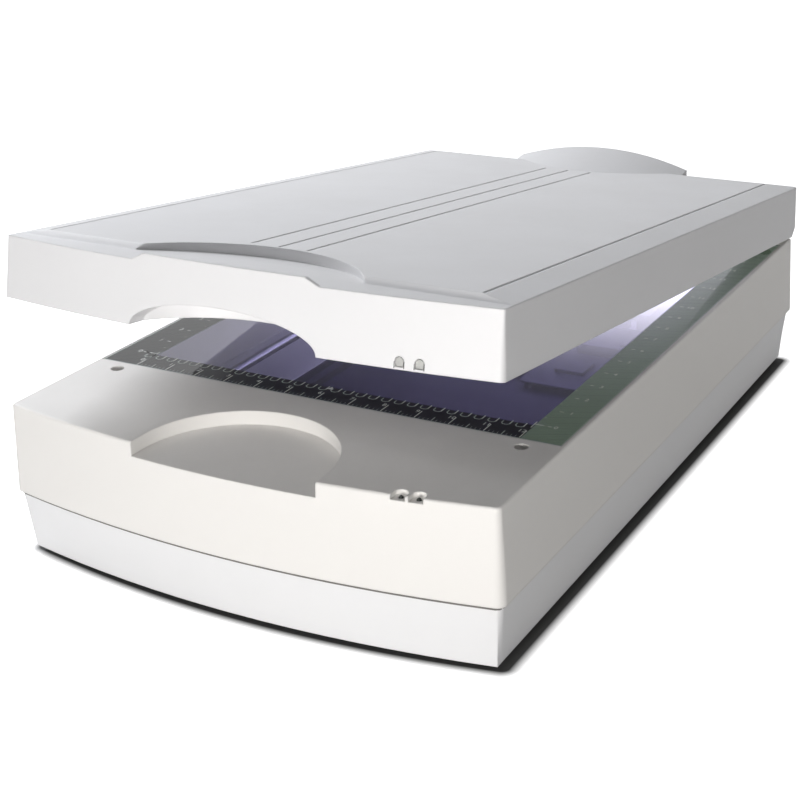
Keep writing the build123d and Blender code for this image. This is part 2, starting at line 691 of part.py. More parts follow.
def circuit_board(x0, x1, y0, y1, parts):
    """A board on its standoffs, with parts (x, y, length, width, height)."""
    top = BOARD_Z + BOARD_THICKNESS
    board = block(x0, x1, y0, y1, BOARD_Z, top)
    for x, y, length, width, height in parts:
        board += block(x, x + length, y, y + width, top, top + height)
    return board


def main_board():
    chips = [(30, 430, 26, 26, 3), (72, 430, 18, 12, 2), (72, 450, 18, 12, 2), (30, 480, 40, 8, 9),
             (100, 430, 20, 30, 2), (100, 480, 8, 40, 9), (60, 505, 14, 14, 4)]
    return circuit_board(10, 140, 400, 556, chips)


def power_board():
    chips = [(-60, 440, 26, 30, 24), (-28, 440, 18, 18, 20), (-60, 480, 12, 12, 22), (-44, 480, 12, 12, 22),
             (-28, 470, 6, 40, 16)]
    return circuit_board(-70, 6, 420, 556, chips)


# ---- Rear connectors and controls ----------------------------------------------------------
def power_inlet():
    half_x = INLET_WIDTH / 2 - SNUG
    half_z = INLET_HEIGHT / 2 - SNUG
    face = rear_face_y()
    body = block(INLET_X - half_x, INLET_X + half_x, face - 26, face - 0.6, CONNECTOR_Z - half_z,
                 CONNECTOR_Z + half_z)
    body -= block(INLET_X - 11, INLET_X + 11, face - 16, face, CONNECTOR_Z - 7, CONNECTOR_Z + 7)
    for x, z in ((-5, -2), (0, 2), (5, -2)):
        body += block(INLET_X + x - 1, INLET_X + x + 1, face - 17, face - 5, CONNECTOR_Z + z - 2,
                      CONNECTOR_Z + z + 2)
    return body


def switch_bezel():
    half_x = SWITCH_WIDTH / 2 - SNUG
    half_z = SWITCH_HEIGHT / 2 - SNUG
    face = rear_face_y()
    body = block(SWITCH_X - half_x, SWITCH_X + half_x, face - 20, face - 0.6, CONNECTOR_Z - half_z,
                 CONNECTOR_Z + half_z)
    body -= block(SWITCH_X - half_x + SWITCH_WALL, SWITCH_X + half_x - SWITCH_WALL, face - 16, face,
                  CONNECTOR_Z - half_z + SWITCH_WALL, CONNECTOR_Z + half_z - SWITCH_WALL)
    return body - crosswise(SWITCH_PIVOT_RADIUS + RUNNING, switch_pivot_y(), CONNECTOR_Z,
                            SWITCH_X - half_x, SWITCH_X + half_x)


def switch_pivot_y():
    return rear_face_y() - 8.0


def power_switch():
    half_x = SWITCH_WIDTH / 2 - SNUG - SWITCH_WALL - LOOSE
    pivot = switch_pivot_y()
    profile = [(pivot - 4, CONNECTOR_Z - 3), (pivot - 4, CONNECTOR_Z + 3), (pivot + 5, CONNECTOR_Z + 5.4),
               (pivot + 3.4, CONNECTOR_Z), (pivot + 5, CONNECTOR_Z - 5.4)]
    rocker = side_prism(profile, SWITCH_X - half_x, SWITCH_X + half_x)
    reach = half_x + SWITCH_PIVOT_REACH
    rocker += crosswise(SWITCH_PIVOT_RADIUS, pivot, CONNECTOR_Z, SWITCH_X - reach, SWITCH_X + reach)
    return rocker.rotate(Axis((0, pivot, CONNECTOR_Z), (1, 0, 0)), SWITCH_TILT)


def port_panel():
    face = rear_face_y()
    half = PORT_PANEL_HEIGHT / 2 - SNUG
    plate = block(PORT_PANEL_LEFT + SNUG, PORT_PANEL_RIGHT - SNUG, face - 3.4, face - 2.2,
                  CONNECTOR_Z - half, CONNECTOR_Z + half)
    for x, width, height in port_places():
        plate -= block(x - width / 2 - SNUG, x + width / 2 + SNUG, face - 4, face,
                       CONNECTOR_Z - height / 2 - SNUG, CONNECTOR_Z + height / 2 + SNUG)
    return plate


def port_places():
    """Centre x, width and height of each connector in the port panel."""
    return [(42.0, 12.0, 11.0), (62.0, 12.0, 9.0), (100.0, 40.0, 12.0)]


def connector(index):
    """A socket with a hollow mouth that faces the rear."""
    rim = PORT_RIM
    x, width, height = port_places()[index]
    face = rear_face_y()
    front = face - 30
    body = block(x - width / 2, x + width / 2, front, face - 1, CONNECTOR_Z - height / 2,
                 CONNECTOR_Z + height / 2)
    body -= block(x - width / 2 + rim, x + width / 2 - rim, face - 12, face, CONNECTOR_Z - height / 2 + rim,
                  CONNECTOR_Z + height / 2 - rim)
    tongue = block(x - width / 2 + rim + 2.4, x + width / 2 - rim - 2.4, face - 13, face - 7,
                   CONNECTOR_Z - 0.8, CONNECTOR_Z + 0.8)
    legs = block(x - width / 2, x + width / 2, front, front + 8, BOARD_Z + BOARD_THICKNESS, CONNECTOR_Z)
    return body + tongue + legs


def transit_lock():
    bottom = FOOT_HEIGHT + LOCK_RECESS
    disc = upright(LOCK_DISC_RADIUS, LOCK_X, LOCK_Y, bottom, bottom + FLOOR)
    disc += block(LOCK_X - 9, LOCK_X + 9, LOCK_Y - 1.5, LOCK_Y + 1.5, bottom - 0.8, bottom)
    return disc + upright(LOCK_PIN_RADIUS, LOCK_X, LOCK_Y, bottom, CARRIAGE_BOTTOM - 1.5)


# ---- Scan carriage -------------------------------------------------------------------------
def bushing_places():
    last = CARRIAGE_FRONT + CARRIAGE_DEPTH - BUSHING_LENGTH - 5
    return (CARRIAGE_FRONT + 5, last)


def carriage_frame():
    left, right = CARRIAGE_LEFT, CARRIAGE_RIGHT
    front = CARRIAGE_FRONT
    rear = front + CARRIAGE_DEPTH
    wall = CARRIAGE_WALL
    body = block(left, right, front, rear, CARRIAGE_BOTTOM, CARRIAGE_TOP)
    body -= block(left + wall, right - wall, front + wall, rear - wall, CARRIAGE_BOTTOM + wall, CARRIAGE_TOP)
    lid_depth = SCAN_LINE - LAMP_SPREAD - 6
    body += block(left, right, front, lid_depth, CARRIAGE_TOP - wall, CARRIAGE_TOP)
    block_half = ROD_X - BUSHING_RADIUS - 3
    for y in bushing_places():
        body += block(block_half, left, y, y + BUSHING_LENGTH, ROD_Z - BUSHING_RADIUS - 2.4,
                      ROD_Z + BUSHING_RADIUS + 2.4)
        body -= lengthwise(BUSHING_RADIUS, ROD_X, ROD_Z, y, y + BUSHING_LENGTH)
    body -= upright(LOCK_PIN_RADIUS + LOOSE, LOCK_X, LOCK_Y, CARRIAGE_BOTTOM, CARRIAGE_BOTTOM + wall)
    middle = front + CARRIAGE_DEPTH / 2
    far = RAIL_X + ROLLER_WIDTH / 2 + 0.6
    body += crosswise(ROLLER_AXLE_RADIUS, middle, roller_z(), right - wall, far)
    body += crosswise(ROLLER_AXLE_RADIUS + 1.2, middle, roller_z(), far, far + 1)
    for x in (left + 4, right - 8):
        body += block(x, x + 4, SCAN_LINE - LAMP_SPREAD - 4, SCAN_LINE + LAMP_SPREAD + 3,
                      CARRIAGE_BOTTOM + wall, LAMP_Z - LAMP_RADIUS - 4)
    lens_z = CARRIAGE_BOTTOM + wall + LENS_RISE
    lens_y = front + LENS_SETBACK
    mount = block(-14, 14, lens_y - 5, lens_y - 1, CARRIAGE_BOTTOM + wall, lens_z + LENS_RADIUS)
    return body + (mount - lengthwise(LENS_RADIUS - 2, 0, lens_z, front, rear))


def roller_z():
    return RAIL_TOP + LOOSE + ROLLER_RADIUS


def lamp_tubes():
    tubes = []
    for side in (-1, 1):
        tubes.append(crosswise(LAMP_RADIUS, SCAN_LINE + side * LAMP_SPREAD, LAMP_Z,
                               CARRIAGE_LEFT + 4, CARRIAGE_RIGHT - 4))
    return group(tubes)


def lamp_holders():
    holders = []
    low = LAMP_Z - LAMP_RADIUS - 4
    for x in (CARRIAGE_LEFT + 3, CARRIAGE_RIGHT - 13):
        holder = block(x, x + 10, SCAN_LINE - LAMP_SPREAD - 3.5, SCAN_LINE + LAMP_SPREAD + 3.5, low,
                       LAMP_Z + LAMP_RADIUS + 1)
        for side in (-1, 1):
            holder -= crosswise(LAMP_RADIUS, SCAN_LINE + side * LAMP_SPREAD, LAMP_Z, x - 1, x + 11)
        holders.append(holder)
    return group(holders)


def lamp_reflectors():
    plates = []
    x0 = CARRIAGE_LEFT + 36
    x1 = CARRIAGE_RIGHT - 42
    for side in (-1, 1):
        y = SCAN_LINE + side * LAMP_SPREAD
        outer = crosswise(LAMP_RADIUS + 1.8, y, LAMP_Z, x0, x1)
        ring = outer - crosswise(LAMP_RADIUS + 1.1, y, LAMP_Z, x0, x1)
        plates.append(ring & block(x0, x1, y - 6, y + 6, LAMP_Z - 6, LAMP_Z))
    return group(plates)


def scan_mirrors():
    mirrors = []
    low = CARRIAGE_BOTTOM + CARRIAGE_WALL
    x0 = CARRIAGE_LEFT + CARRIAGE_WALL + 8
    x1 = CARRIAGE_RIGHT - CARRIAGE_WALL - 20
    for behind, rise, tilt in MIRRORS:
        plate = Pos((x0 + x1) / 2, SCAN_LINE - behind, low + rise) * Rot(tilt, 0, 0) * Box(x1 - x0, 12, 2)
        mirrors.append(plate)
    return group(mirrors)


def lens_barrel():
    y0 = CARRIAGE_FRONT + LENS_SETBACK
    z = CARRIAGE_BOTTOM + CARRIAGE_WALL + LENS_RISE
    barrel = lengthwise(LENS_RADIUS, 0, z, y0, y0 + 10) + lengthwise(LENS_RADIUS - 2, 0, z, y0 - 6, y0)
    return barrel - lengthwise(LENS_RADIUS / 2, 0, z, y0 + 4, y0 + 10)


def sensor_board():
    y0 = CARRIAGE_FRONT + CARRIAGE_WALL + 2
    z = CARRIAGE_BOTTOM + CARRIAGE_WALL
    board = block(-45, 45, y0, y0 + 1.6, z, z + 28)
    return board + block(-30, 30, y0 + 1.6, y0 + 5, z + 8, z + 18)


def rod_bushings():
    sleeves = []
    for y in bushing_places():
        sleeve = lengthwise(BUSHING_RADIUS, ROD_X, ROD_Z, y, y + BUSHING_LENGTH)
        sleeves.append(sleeve - lengthwise(ROD_RADIUS + RUNNING, ROD_X, ROD_Z, y, y + BUSHING_LENGTH))
    return group(sleeves)


def carriage_roller():
    middle = CARRIAGE_FRONT + CARRIAGE_DEPTH / 2
    x0 = RAIL_X - ROLLER_WIDTH / 2
    roller = crosswise(ROLLER_RADIUS, middle, roller_z(), x0, x0 + ROLLER_WIDTH)
    return roller - crosswise(ROLLER_AXLE_RADIUS + RUNNING, middle, roller_z(), x0, x0 + ROLLER_WIDTH)


def belt_clamp():
    run = BELT_X + PULLEY_RADIUS + LOOSE
    y0 = CARRIAGE_FRONT + 36
    low = BELT_Z - 2
    high = BELT_Z + BELT_HEIGHT + LOOSE
    clamp = block(run - 3, run + BELT_THICKNESS + 3, y0, y0 + 14, low, CARRIAGE_BOTTOM)
    return clamp - block(run - LOOSE, run + BELT_THICKNESS + LOOSE, y0, y0 + 14, low, high)


# ---- Lid -----------------------------------------------------------------------------------
def top_slopes(drop):
    """Everything under the lid's sloping top, lowered by a drop."""
    half = LID_WIDTH / 2 - LID_HEIGHT * math.tan(math.radians(LID_DRAFT))
    slope = PANEL_RISE / (half - PANEL_HALF_WIDTH)
    out = half + 20
    edge = PANEL_Z - drop - slope * (out - PANEL_HALF_WIDTH)
    roof = front_prism([(-out, 0), (-out, edge), (-PANEL_HALF_WIDTH, PANEL_Z - drop),
                        (PANEL_HALF_WIDTH, PANEL_Z - drop), (out, edge), (out, 0)], -BIG / 2, BIG)
    foot = PANEL_FRONT - PANEL_RAMP
    front = side_prism([(-BIG / 2, 0), (-BIG / 2, LID_EDGE_Z - drop), (foot, LID_EDGE_Z - drop),
                        (PANEL_FRONT, PANEL_Z - drop), (PANEL_REAR, PANEL_Z - drop),
                        (LID_REAR, LID_EDGE_Z - drop), (LID_REAR, 0)], -BIG / 2, BIG / 2)
    return roof & front


def above_thumb_floor(grow, drop):
    """Space over the thumb recess's floor, inside its arc wall."""
    space = upright(THUMB_RADIUS + grow, 0, THUMB_CENTRE_Y, LID_BOTTOM, PANEL_Z + BIG / 10)
    rear = THUMB_CENTRE_Y + THUMB_RADIUS
    slope_front = PANEL_FRONT - PANEL_RAMP
    low = PANEL_Z - THUMB_WALL - drop
    level = LID_EDGE_Z - drop
    over = side_prism([(-THUMB_RADIUS, level), (slope_front, level), (rear, low), (rear + 2 * SHELL, low),
                       (rear + 2 * SHELL, PANEL_Z + BIG / 10), (-THUMB_RADIUS, PANEL_Z + BIG / 10)],
                      -BIG / 2, BIG / 2)
    return space & over


def front_lip():
    """Low rim along the middle of the lid's front edge, slanted at its ends."""
    top = LID_EDGE_Z + LIP_RISE
    wide = LIP_HALF_WIDTH + LIP_SLANT
    root = LID_EDGE_Z - SHELL / 2
    bar = front_prism([(-wide, root), (-wide, LID_EDGE_Z), (-LIP_HALF_WIDTH, top),
                       (LIP_HALF_WIDTH, top), (wide, LID_EDGE_Z), (wide, root)], -2 * LID_BOW, LID_FRONT)
    height = LID_HEIGHT + LIP_RISE
    rim = rising(lid_outline(0, LID_BOTTOM), height, LID_DRAFT)
    rim -= rising(lid_outline(LIP_THICKNESS, LID_BOTTOM), height, LID_DRAFT)
    return bar & rim


def finger_arch(grow):
    """Hollow behind the lid's front edge for the fingers, larger by grow all round."""
    front = -2 * LID_BOW
    section = Pos(0, front, LID_BOTTOM) * Rot(90, 0, 0) * Ellipse(ARCH_HALF_WIDTH + grow, ARCH_HEIGHT + grow)
    tunnel = extrude(section, amount=ARCH_PLAN_RADIUS - front, dir=(0, 1, 0))
    return tunnel & upright(ARCH_PLAN_RADIUS + grow, 0, ARCH_CENTRE_Y, LID_BOTTOM - 1, LID_EDGE_Z)


def rear_hump(shrink):
    """Low vault at the rear of the lid's top."""
    tilt = math.degrees(math.atan2(HUMP_RISE, HUMP_LENGTH))
    front_y = LID_REAR - HUMP_LENGTH
    length = 3 * HUMP_LENGTH
    vault = Rot(90, 0, 0) * Cylinder(HUMP_RADIUS - shrink, length)
    vault = Pos(0, 0, -HUMP_RADIUS) * vault
    vault = Pos(0, front_y, PANEL_Z) * Rot(tilt, 0, 0) * vault
    half = HUMP_HALF_WIDTH - shrink
    rear = LID_REAR - LID_HEIGHT * math.tan(math.radians(LID_DRAFT)) - shrink
    return vault & block(-half, half, front_y - 4, rear, LID_EDGE_Z - 2 * SHELL, PANEL_Z + 2 * HUMP_RISE)


def rear_chamfer(inset):
    """Corner taken off the lid's lower rear edge."""
    slope = CHAMFER_HEIGHT / CHAMFER_LENGTH
    shift = inset * math.hypot(1, slope) / slope
    y0 = LID_REAR - CHAMFER_LENGTH - shift
    reach = 60
    return side_prism([(y0 - 20, LID_BOTTOM - 20 * slope), (y0 + reach, LID_BOTTOM + reach * slope),
                       (y0 + reach, LID_BOTTOM - 20 * slope)], -BIG / 2, BIG / 2)


def lid_window(x, gap, y0, y1):
    """Round-topped window for a light guide in the lid's front."""
    half = LID_WINDOW_WIDTH / 2 - gap
    base = LID_BOTTOM + 1.6 + gap
    shoulder = LID_BOTTOM + 1.6 + LID_WINDOW_HEIGHT - LID_WINDOW_WIDTH / 2
    return block(x - half, x + half, y0, y1, base, shoulder) + lengthwise(half, x, shoulder, y0, y1)


def lid_boss_places():
    return [(side * x, y) for side in (-1, 1) for x, y in ((170.0, 30.0), (120.0, 574.0))]


def lid_post_slot(side):
    """Gap in the lid's underside that lets the hinge post swing."""
    half = POST_WIDTH / 2 + 2 * LOOSE
    x = side * HINGE_X
    front = HINGE_Y - POST_BEHIND - POST_DEPTH - 2
    return block(x - half, x + half, front, LID_REAR - 2 * SHELL, DECK_Z - 2, HINGE_Z + POST_HEAD_RADIUS + 1)


def lid_top_cover():
    sides = rising(lid_outline(0, LID_BOTTOM), LID_HEIGHT + PANEL_RISE + 1, LID_DRAFT)
    body = sides & top_slopes(0)
    body += rear_hump(0)
    body -= rear_chamfer(0)
    body -= above_thumb_floor(0, 0) & block(-BIG / 4, BIG / 4, 0, 80, LID_BOTTOM, PANEL_Z + 9)
    body += front_lip()
    cavity = rising(lid_outline(SHELL, LID_BOTTOM - 1), LID_HEIGHT + PANEL_RISE + 1, LID_DRAFT)
    cavity &= top_slopes(SHELL)
    cavity -= rear_chamfer(SHELL)
    cavity -= above_thumb_floor(SHELL, SHELL)
    cavity -= finger_arch(SHELL)
    for x, y in lid_boss_places():
        cavity -= upright(BOSS_RADIUS, x, y, LID_FRAME_TOP, PANEL_Z)
    body -= cavity
    body -= finger_arch(0)
    for x in GROOVE_X:
        body -= top_groove(x, GROOVE_FRONT, GROOVE_REAR)
    for side in (-1, 1):
        body -= top_groove(side * PANEL_HALF_WIDTH, EDGE_GROOVE_FRONT, EDGE_GROOVE_REAR)
        body -= lid_post_slot(side)
    for x in LID_WINDOW_X:
        y = bow_y(LID_WIDTH, LID_FRONT, LID_BOW, x)
        body -= lid_window(x, 0, y - 3, y + 3 * SHELL)
    for x, y in lid_boss_places():
        body -= upright(SCREW_RADIUS, x, y, LID_FRAME_TOP, LID_CEILING - 8)
    body -= lengthwise(GLAND_RADIUS, GLAND_X, gland_z(), LID_REAR - 30, LID_REAR + 1)
    return body


def top_groove(x, y0, y1):
    half = GROOVE_WIDTH / 2
    groove = block(x - half, x + half, y0, y1, PANEL_Z - GROOVE_DEPTH, PANEL_Z + 1)
    ends = upright(half, x, y0, PANEL_Z - GROOVE_DEPTH, PANEL_Z + 1)
    return groove + ends + upright(half, x, y1, PANEL_Z - GROOVE_DEPTH, PANEL_Z + 1)


def gland_z():
    return LID_BOTTOM + LID_HEIGHT * 0.6


def lid_cable_gland():
    y1 = LID_REAR - 2
    ring = lengthwise(GLAND_RADIUS - SNUG / 2, GLAND_X, gland_z(), y1 - 6, y1)
    flange = lengthwise(GLAND_RADIUS + 2, GLAND_X, gland_z(), y1 - 10, y1 - 6)
    return ring + flange - lengthwise(GLAND_BORE, GLAND_X, gland_z(), y1 - 10, y1)


def diffuser_bounds(gap):
    half = SCAN_WIDTH / 2 + DIFFUSER_MARGIN - gap
    front = SCAN_FRONT - DIFFUSER_MARGIN + gap
    return -half, half, front, SCAN_FRONT + SCAN_LENGTH + DIFFUSER_MARGIN - gap


def lid_bottom_frame():
    inset = SHELL + SNUG
    draft = LID_DRAFT
    plate = rising(lid_outline(inset, LID_BOTTOM), PLATE_THICKNESS, draft)
    plate &= block(-BIG / 4, BIG / 4, -BIG / 4, LID_REAR - CHAMFER_LENGTH - 2 * SHELL - SNUG, 0, BIG)
    plate -= finger_arch(SHELL + SNUG)
    x0, x1, y0, y1 = diffuser_bounds(0)
    ledge = 3.0
    plate -= block(x0 + ledge, x1 - ledge, y0 + ledge, y1 - ledge, LID_BOTTOM, LID_FRAME_TOP)
    plate -= block(x0, x1, y0, y1, LID_FRAME_TOP - DIFFUSER_THICKNESS, LID_FRAME_TOP)
    for side in (-1, 1):
        plate -= lid_post_slot(side)
    for x in LID_WINDOW_X:
        plate -= block(x - 5, x + 5, -20, LID_FRONT + 8, LID_BOTTOM, LID_FRAME_TOP)
    for x, y in lid_boss_places():
        plate -= upright(SCREW_RADIUS + SNUG, x, y, LID_BOTTOM, LID_FRAME_TOP)
        plate -= upright(SCREW_RADIUS * 2 + SNUG, x, y, LID_BOTTOM, LID_BOTTOM + 1.6)
    return plate + lid_frame_stands()


def diffuser_panel():
    x0, x1, y0, y1 = diffuser_bounds(SNUG)
    return block(x0, x1, y0, y1, LID_FRAME_TOP - DIFFUSER_THICKNESS, LID_FRAME_TOP)


def lid_bumpers():
    pads = []
    for side in (-1, 1):
        for y in (LID_FRONT + 50, HINGE_Y - 30):
            x = side * (HINGE_X + 4)
            pads.append(upright(BUMPER_RADIUS, x, y, LID_BOTTOM - BUMPER_HEIGHT, LID_BOTTOM))
    return group(pads)


def lid_screws():
    screws = []
    for x, y in lid_boss_places():
        head = upright(SCREW_RADIUS * 2, x, y, LID_BOTTOM + 0.2, LID_BOTTOM + 1.6)
        shank = upright(SCREW_RADIUS, x, y, LID_BOTTOM + 1.6, LID_CEILING - 10)
        slot = screw_slot(x, y, LID_BOTTOM + 0.2)
        screws.append(head + shank - slot)
    return group(screws)


def light_guides():
    guides = []
    for x in LID_WINDOW_X:
        y = bow_y(LID_WIDTH, LID_FRONT, LID_BOW, x) + 0.5
        guides.append(lid_window(x, 0.35, y + 0.2, y + 7))
    return group(guides)


def hinge_bracket(side):
    """Fork inside the lid whose two ears hold the hinge pin."""
    x = side * HINGE_X
    inner = POST_WIDTH / 2 + WASHER_THICKNESS + 2 * LOOSE
    outer = inner + EAR_THICKNESS
    front = HINGE_Y - EAR_DEPTH / 2
    top = LID_CEILING - SHELL
    body = block(x - outer, x + outer, front, front + EAR_DEPTH, HINGE_Z, top)
    body += crosswise(EAR_DEPTH / 2, HINGE_Y, HINGE_Z, x - outer, x + outer)
    body -= block(x - inner, x + inner, front - 1, front + EAR_DEPTH + 1, LID_BOTTOM - 20, top - 2)
    return body - crosswise(HINGE_PIN_RADIUS, HINGE_Y, HINGE_Z, x - outer, x + outer)


def hinge_pins():
    reach = POST_WIDTH / 2 + WASHER_THICKNESS + 2 * LOOSE + EAR_THICKNESS
    pin = crosswise(HINGE_PIN_RADIUS, HINGE_Y, HINGE_Z, HINGE_X - reach, HINGE_X + reach)
    return group(mirrored_pair(pin))


def friction_washers():
    rings = []
    inner = POST_WIDTH / 2 + LOOSE
    for side in (-1, 1):
        x = HINGE_X + side * (inner + WASHER_THICKNESS / 2)
        half = WASHER_THICKNESS / 2
        ring = crosswise(POST_HEAD_RADIUS - 1, HINGE_Y, HINGE_Z, x - half, x + half)
        rings.append(ring - crosswise(HINGE_PIN_RADIUS, HINGE_Y, HINGE_Z, x - half, x + half))
    return group([copy for ring in rings for copy in mirrored_pair(ring)])


# ---- Lid lamp carriage and its drive -------------------------------------------------------
def lid_guide_rod():
    return lengthwise(LID_ROD_RADIUS, LID_ROD_X, LID_ROD_Z, LID_ROD_FRONT, LID_ROD_REAR)


def lid_frame_stands():
    """Rod stands, glide rail and idler axle moulded on the lid's bottom frame."""
    glide_top = LID_FRAME_TOP + GLIDE_HEIGHT
    stands = block(GLIDE_X - 3, GLIDE_X, LID_ROD_FRONT + 4, LID_ROD_REAR - 4, LID_FRAME_TOP, glide_top)
    for y in (LID_ROD_FRONT, LID_ROD_REAR - 6):
        stand = block(LID_ROD_X - 6, LID_ROD_X + 6, y, y + 6, LID_FRAME_TOP, LID_ROD_Z + 6)
        stands += stand - lengthwise(LID_ROD_RADIUS, LID_ROD_X, LID_ROD_Z, y, y + 6)
    top = LID_BELT_Z + LID_BELT_HEIGHT + 3
    stands += upright(LID_PIVOT_RADIUS, LID_BELT_X, LID_BELT_REAR, LID_FRAME_TOP, top)
    shoulder = LID_BELT_Z - 2 - LOOSE
    return stands + upright(LID_PIVOT_RADIUS + 2, LID_BELT_X, LID_BELT_REAR, LID_FRAME_TOP, shoulder)


def lid_carriage_top():
    return LID_BOTTOM + LID_CARRIAGE_BOTTOM + LID_CARRIAGE_HEIGHT


def lid_lamp_carriage():
    low = LID_BOTTOM + LID_CARRIAGE_BOTTOM
    high = lid_carriage_top()
    front = LID_CARRIAGE_FRONT
    rear = front + LID_CARRIAGE_DEPTH
    left = LID_ROD_X + 8
    wall = CARRIAGE_WALL
    body = block(left, LID_CARRIAGE_RIGHT, front, rear, low, high)
    body -= block(left + wall, LID_CARRIAGE_RIGHT - wall, front + wall, rear - wall, low, high - wall)
    body += block(LID_ROD_X - 6, left, front, rear, LID_ROD_Z - 6, LID_ROD_Z + 6)
    body -= lengthwise(LID_ROD_RADIUS + RUNNING, LID_ROD_X, LID_ROD_Z, front, rear)
    run = LID_BELT_X - LID_PULLEY_RADIUS - LOOSE - BELT_THICKNESS
    jaw = block(LID_CARRIAGE_RIGHT, run + BELT_THICKNESS + 2, front + 14, front + 24, LID_BELT_Z - 1.5,
                LID_BELT_Z + LID_BELT_HEIGHT + 3)
    jaw -= block(run - LOOSE, run + BELT_THICKNESS + LOOSE, front + 14, front + 24, LID_BELT_Z - 1.5,
                 LID_BELT_Z + LID_BELT_HEIGHT + LOOSE)
    body += jaw
    body += block(GLIDE_X - 3, LID_CARRIAGE_RIGHT, front, rear, LID_FRAME_TOP + GLIDE_HEIGHT + LOOSE, low)
    lamp_y = lid_lamp_y()
    for x in (left + wall, LID_CARRIAGE_RIGHT - wall - 8):
        body += block(x, x + 8, lamp_y - 6, lamp_y + 6, low + 1, high - wall)
    return body - crosswise(LAMP_RADIUS, lamp_y, low + 5, left + 4, LID_CARRIAGE_RIGHT - 4)


def lid_lamp_y():
    return LID_CARRIAGE_FRONT + LID_CARRIAGE_DEPTH / 2


def lid_lamp_tube():
    z = LID_BOTTOM + LID_CARRIAGE_BOTTOM + 5
    return crosswise(LAMP_RADIUS, lid_lamp_y(), z, LID_ROD_X + 12, LID_CARRIAGE_RIGHT - 4)


def lid_reflector():
    x0 = LID_ROD_X + 24
    x1 = LID_CARRIAGE_RIGHT - 16
    y = lid_lamp_y()
    low = LID_BOTTOM + LID_CARRIAGE_BOTTOM
    high = lid_carriage_top() - CARRIAGE_WALL
    outer = side_prism([(y - 16, low + 2), (y - 7, high), (y + 7, high), (y + 16, low + 2)], x0, x1)
    return outer - side_prism([(y - 15.2, low + 1), (y - 6.5, high - 0.8), (y + 6.5, high - 0.8),
                               (y + 15.2, low + 1)], x0, x1)


def lid_timing_belt():
    return belt_loop(LID_BELT_X, LID_BELT_FRONT, LID_BELT_REAR, LID_PULLEY_RADIUS + LOOSE, LID_BELT_Z,
                     LID_BELT_HEIGHT, BELT_THICKNESS)


def lid_pulley(y):
    low = LID_BELT_Z - 1
    high = LID_BELT_Z + LID_BELT_HEIGHT + 1
    wheel = toothed(LID_PULLEY_RADIUS, LID_BELT_X, y, low, high, PULLEY_TEETH // 2)
    return wheel + upright(LID_PULLEY_RADIUS + 1.6, LID_BELT_X, y, low - FLANGE_THICKNESS, low)


def lid_drive_pulley():
    low = LID_BELT_Z + LID_BELT_HEIGHT + 1
    return lid_pulley(LID_BELT_FRONT) + upright(LID_PIVOT_RADIUS, LID_BELT_X, LID_BELT_FRONT, low, low + 7)


def lid_idler_pulley():
    bore = upright(LID_PIVOT_RADIUS + RUNNING, LID_BELT_X, LID_BELT_REAR, LID_BELT_Z - 3,
                   LID_BELT_Z + LID_BELT_HEIGHT + 2)
    return lid_pulley(LID_BELT_REAR) - bore


def lid_motor():
    low = LID_BELT_Z + LID_BELT_HEIGHT + 2.5
    can = upright(LID_MOTOR_RADIUS, LID_BELT_X, LID_BELT_FRONT, low, low + LID_MOTOR_HEIGHT)
    bracket = block(LID_BELT_X - 9, LID_BELT_X + 8, LID_BELT_FRONT - 16, LID_BELT_FRONT - 7, low, low + 2)
    leg = block(LID_BELT_X - 6, LID_BELT_X + 6, LID_BELT_FRONT - 16, LID_BELT_FRONT - 13, LID_FRAME_TOP, low + 2)
    bore = upright(LID_PIVOT_RADIUS + RUNNING, LID_BELT_X, LID_BELT_FRONT, low, low + 6.5)
    return can + bracket + leg - bore


def lid_board():
    z = LID_FRAME_TOP + 3
    board = block(-158, -92, 14, 58, z, z + 1.6)
    for x, y, length, width, height in ((-150, 20, 18, 14, 12), (-126, 20, 10, 30, 5), (-112, 24, 12, 12, 8)):
        board += block(x, x + length, y, y + width, z + 1.6, z + 1.6 + height)
    for x in (-155, -97):
        for y in (18, 54):
            board += upright(2, x, y, LID_FRAME_TOP, z)
    return board


# ---- The whole object ----------------------------------------------------------------------
def base_pieces():
    return {
        "lower_housing": lower_housing(), "upper_housing": upper_housing(), "rubber_feet": rubber_feet(),
        "case_screws": case_screws(), "glass_bed": glass_bed(), "ruler_mask": ruler_mask(),
        "calibration_strip": calibration_strip(), "status_leds": status_leds(),
        "hinge_sockets": hinge_sockets(),
        "left_hinge_post": hinge_post(-1, OPEN_PIVOT_GAP), "right_hinge_post": hinge_post(1, RUNNING),
        "chassis_plate": chassis_plate(), "guide_rod": guide_rod(), "rod_holders": rod_holders(),
        "support_rail": support_rail(), "timing_belt": timing_belt(), "reduction_belt": reduction_belt(),
        "drive_motor": drive_motor(), "motor_pulley": motor_pulley(), "drive_pulley": drive_pulley(),
        "idler_pulley": idler_pulley(), "pulley_axles": pulley_axles(),
        "main_board": main_board(), "power_board": power_board(),
        "power_inlet": power_inlet(), "switch_bezel": switch_bezel(), "power_switch": power_switch(),
        "port_panel": port_panel(), "data_ports": group([connector(0), connector(1)]),
        "accessory_port": connector(2), "transit_lock": transit_lock(),
        "carriage_frame": carriage_frame(), "lamp_tubes": lamp_tubes(), "lamp_holders": lamp_holders(),
        "lamp_reflectors": lamp_reflectors(), "scan_mirrors": scan_mirrors(), "lens_barrel": lens_barrel(),
        "sensor_board": sensor_board(), "rod_bushings": rod_bushings(),
        "carriage_roller": carriage_roller(), "belt_clamp": belt_clamp(),
    }


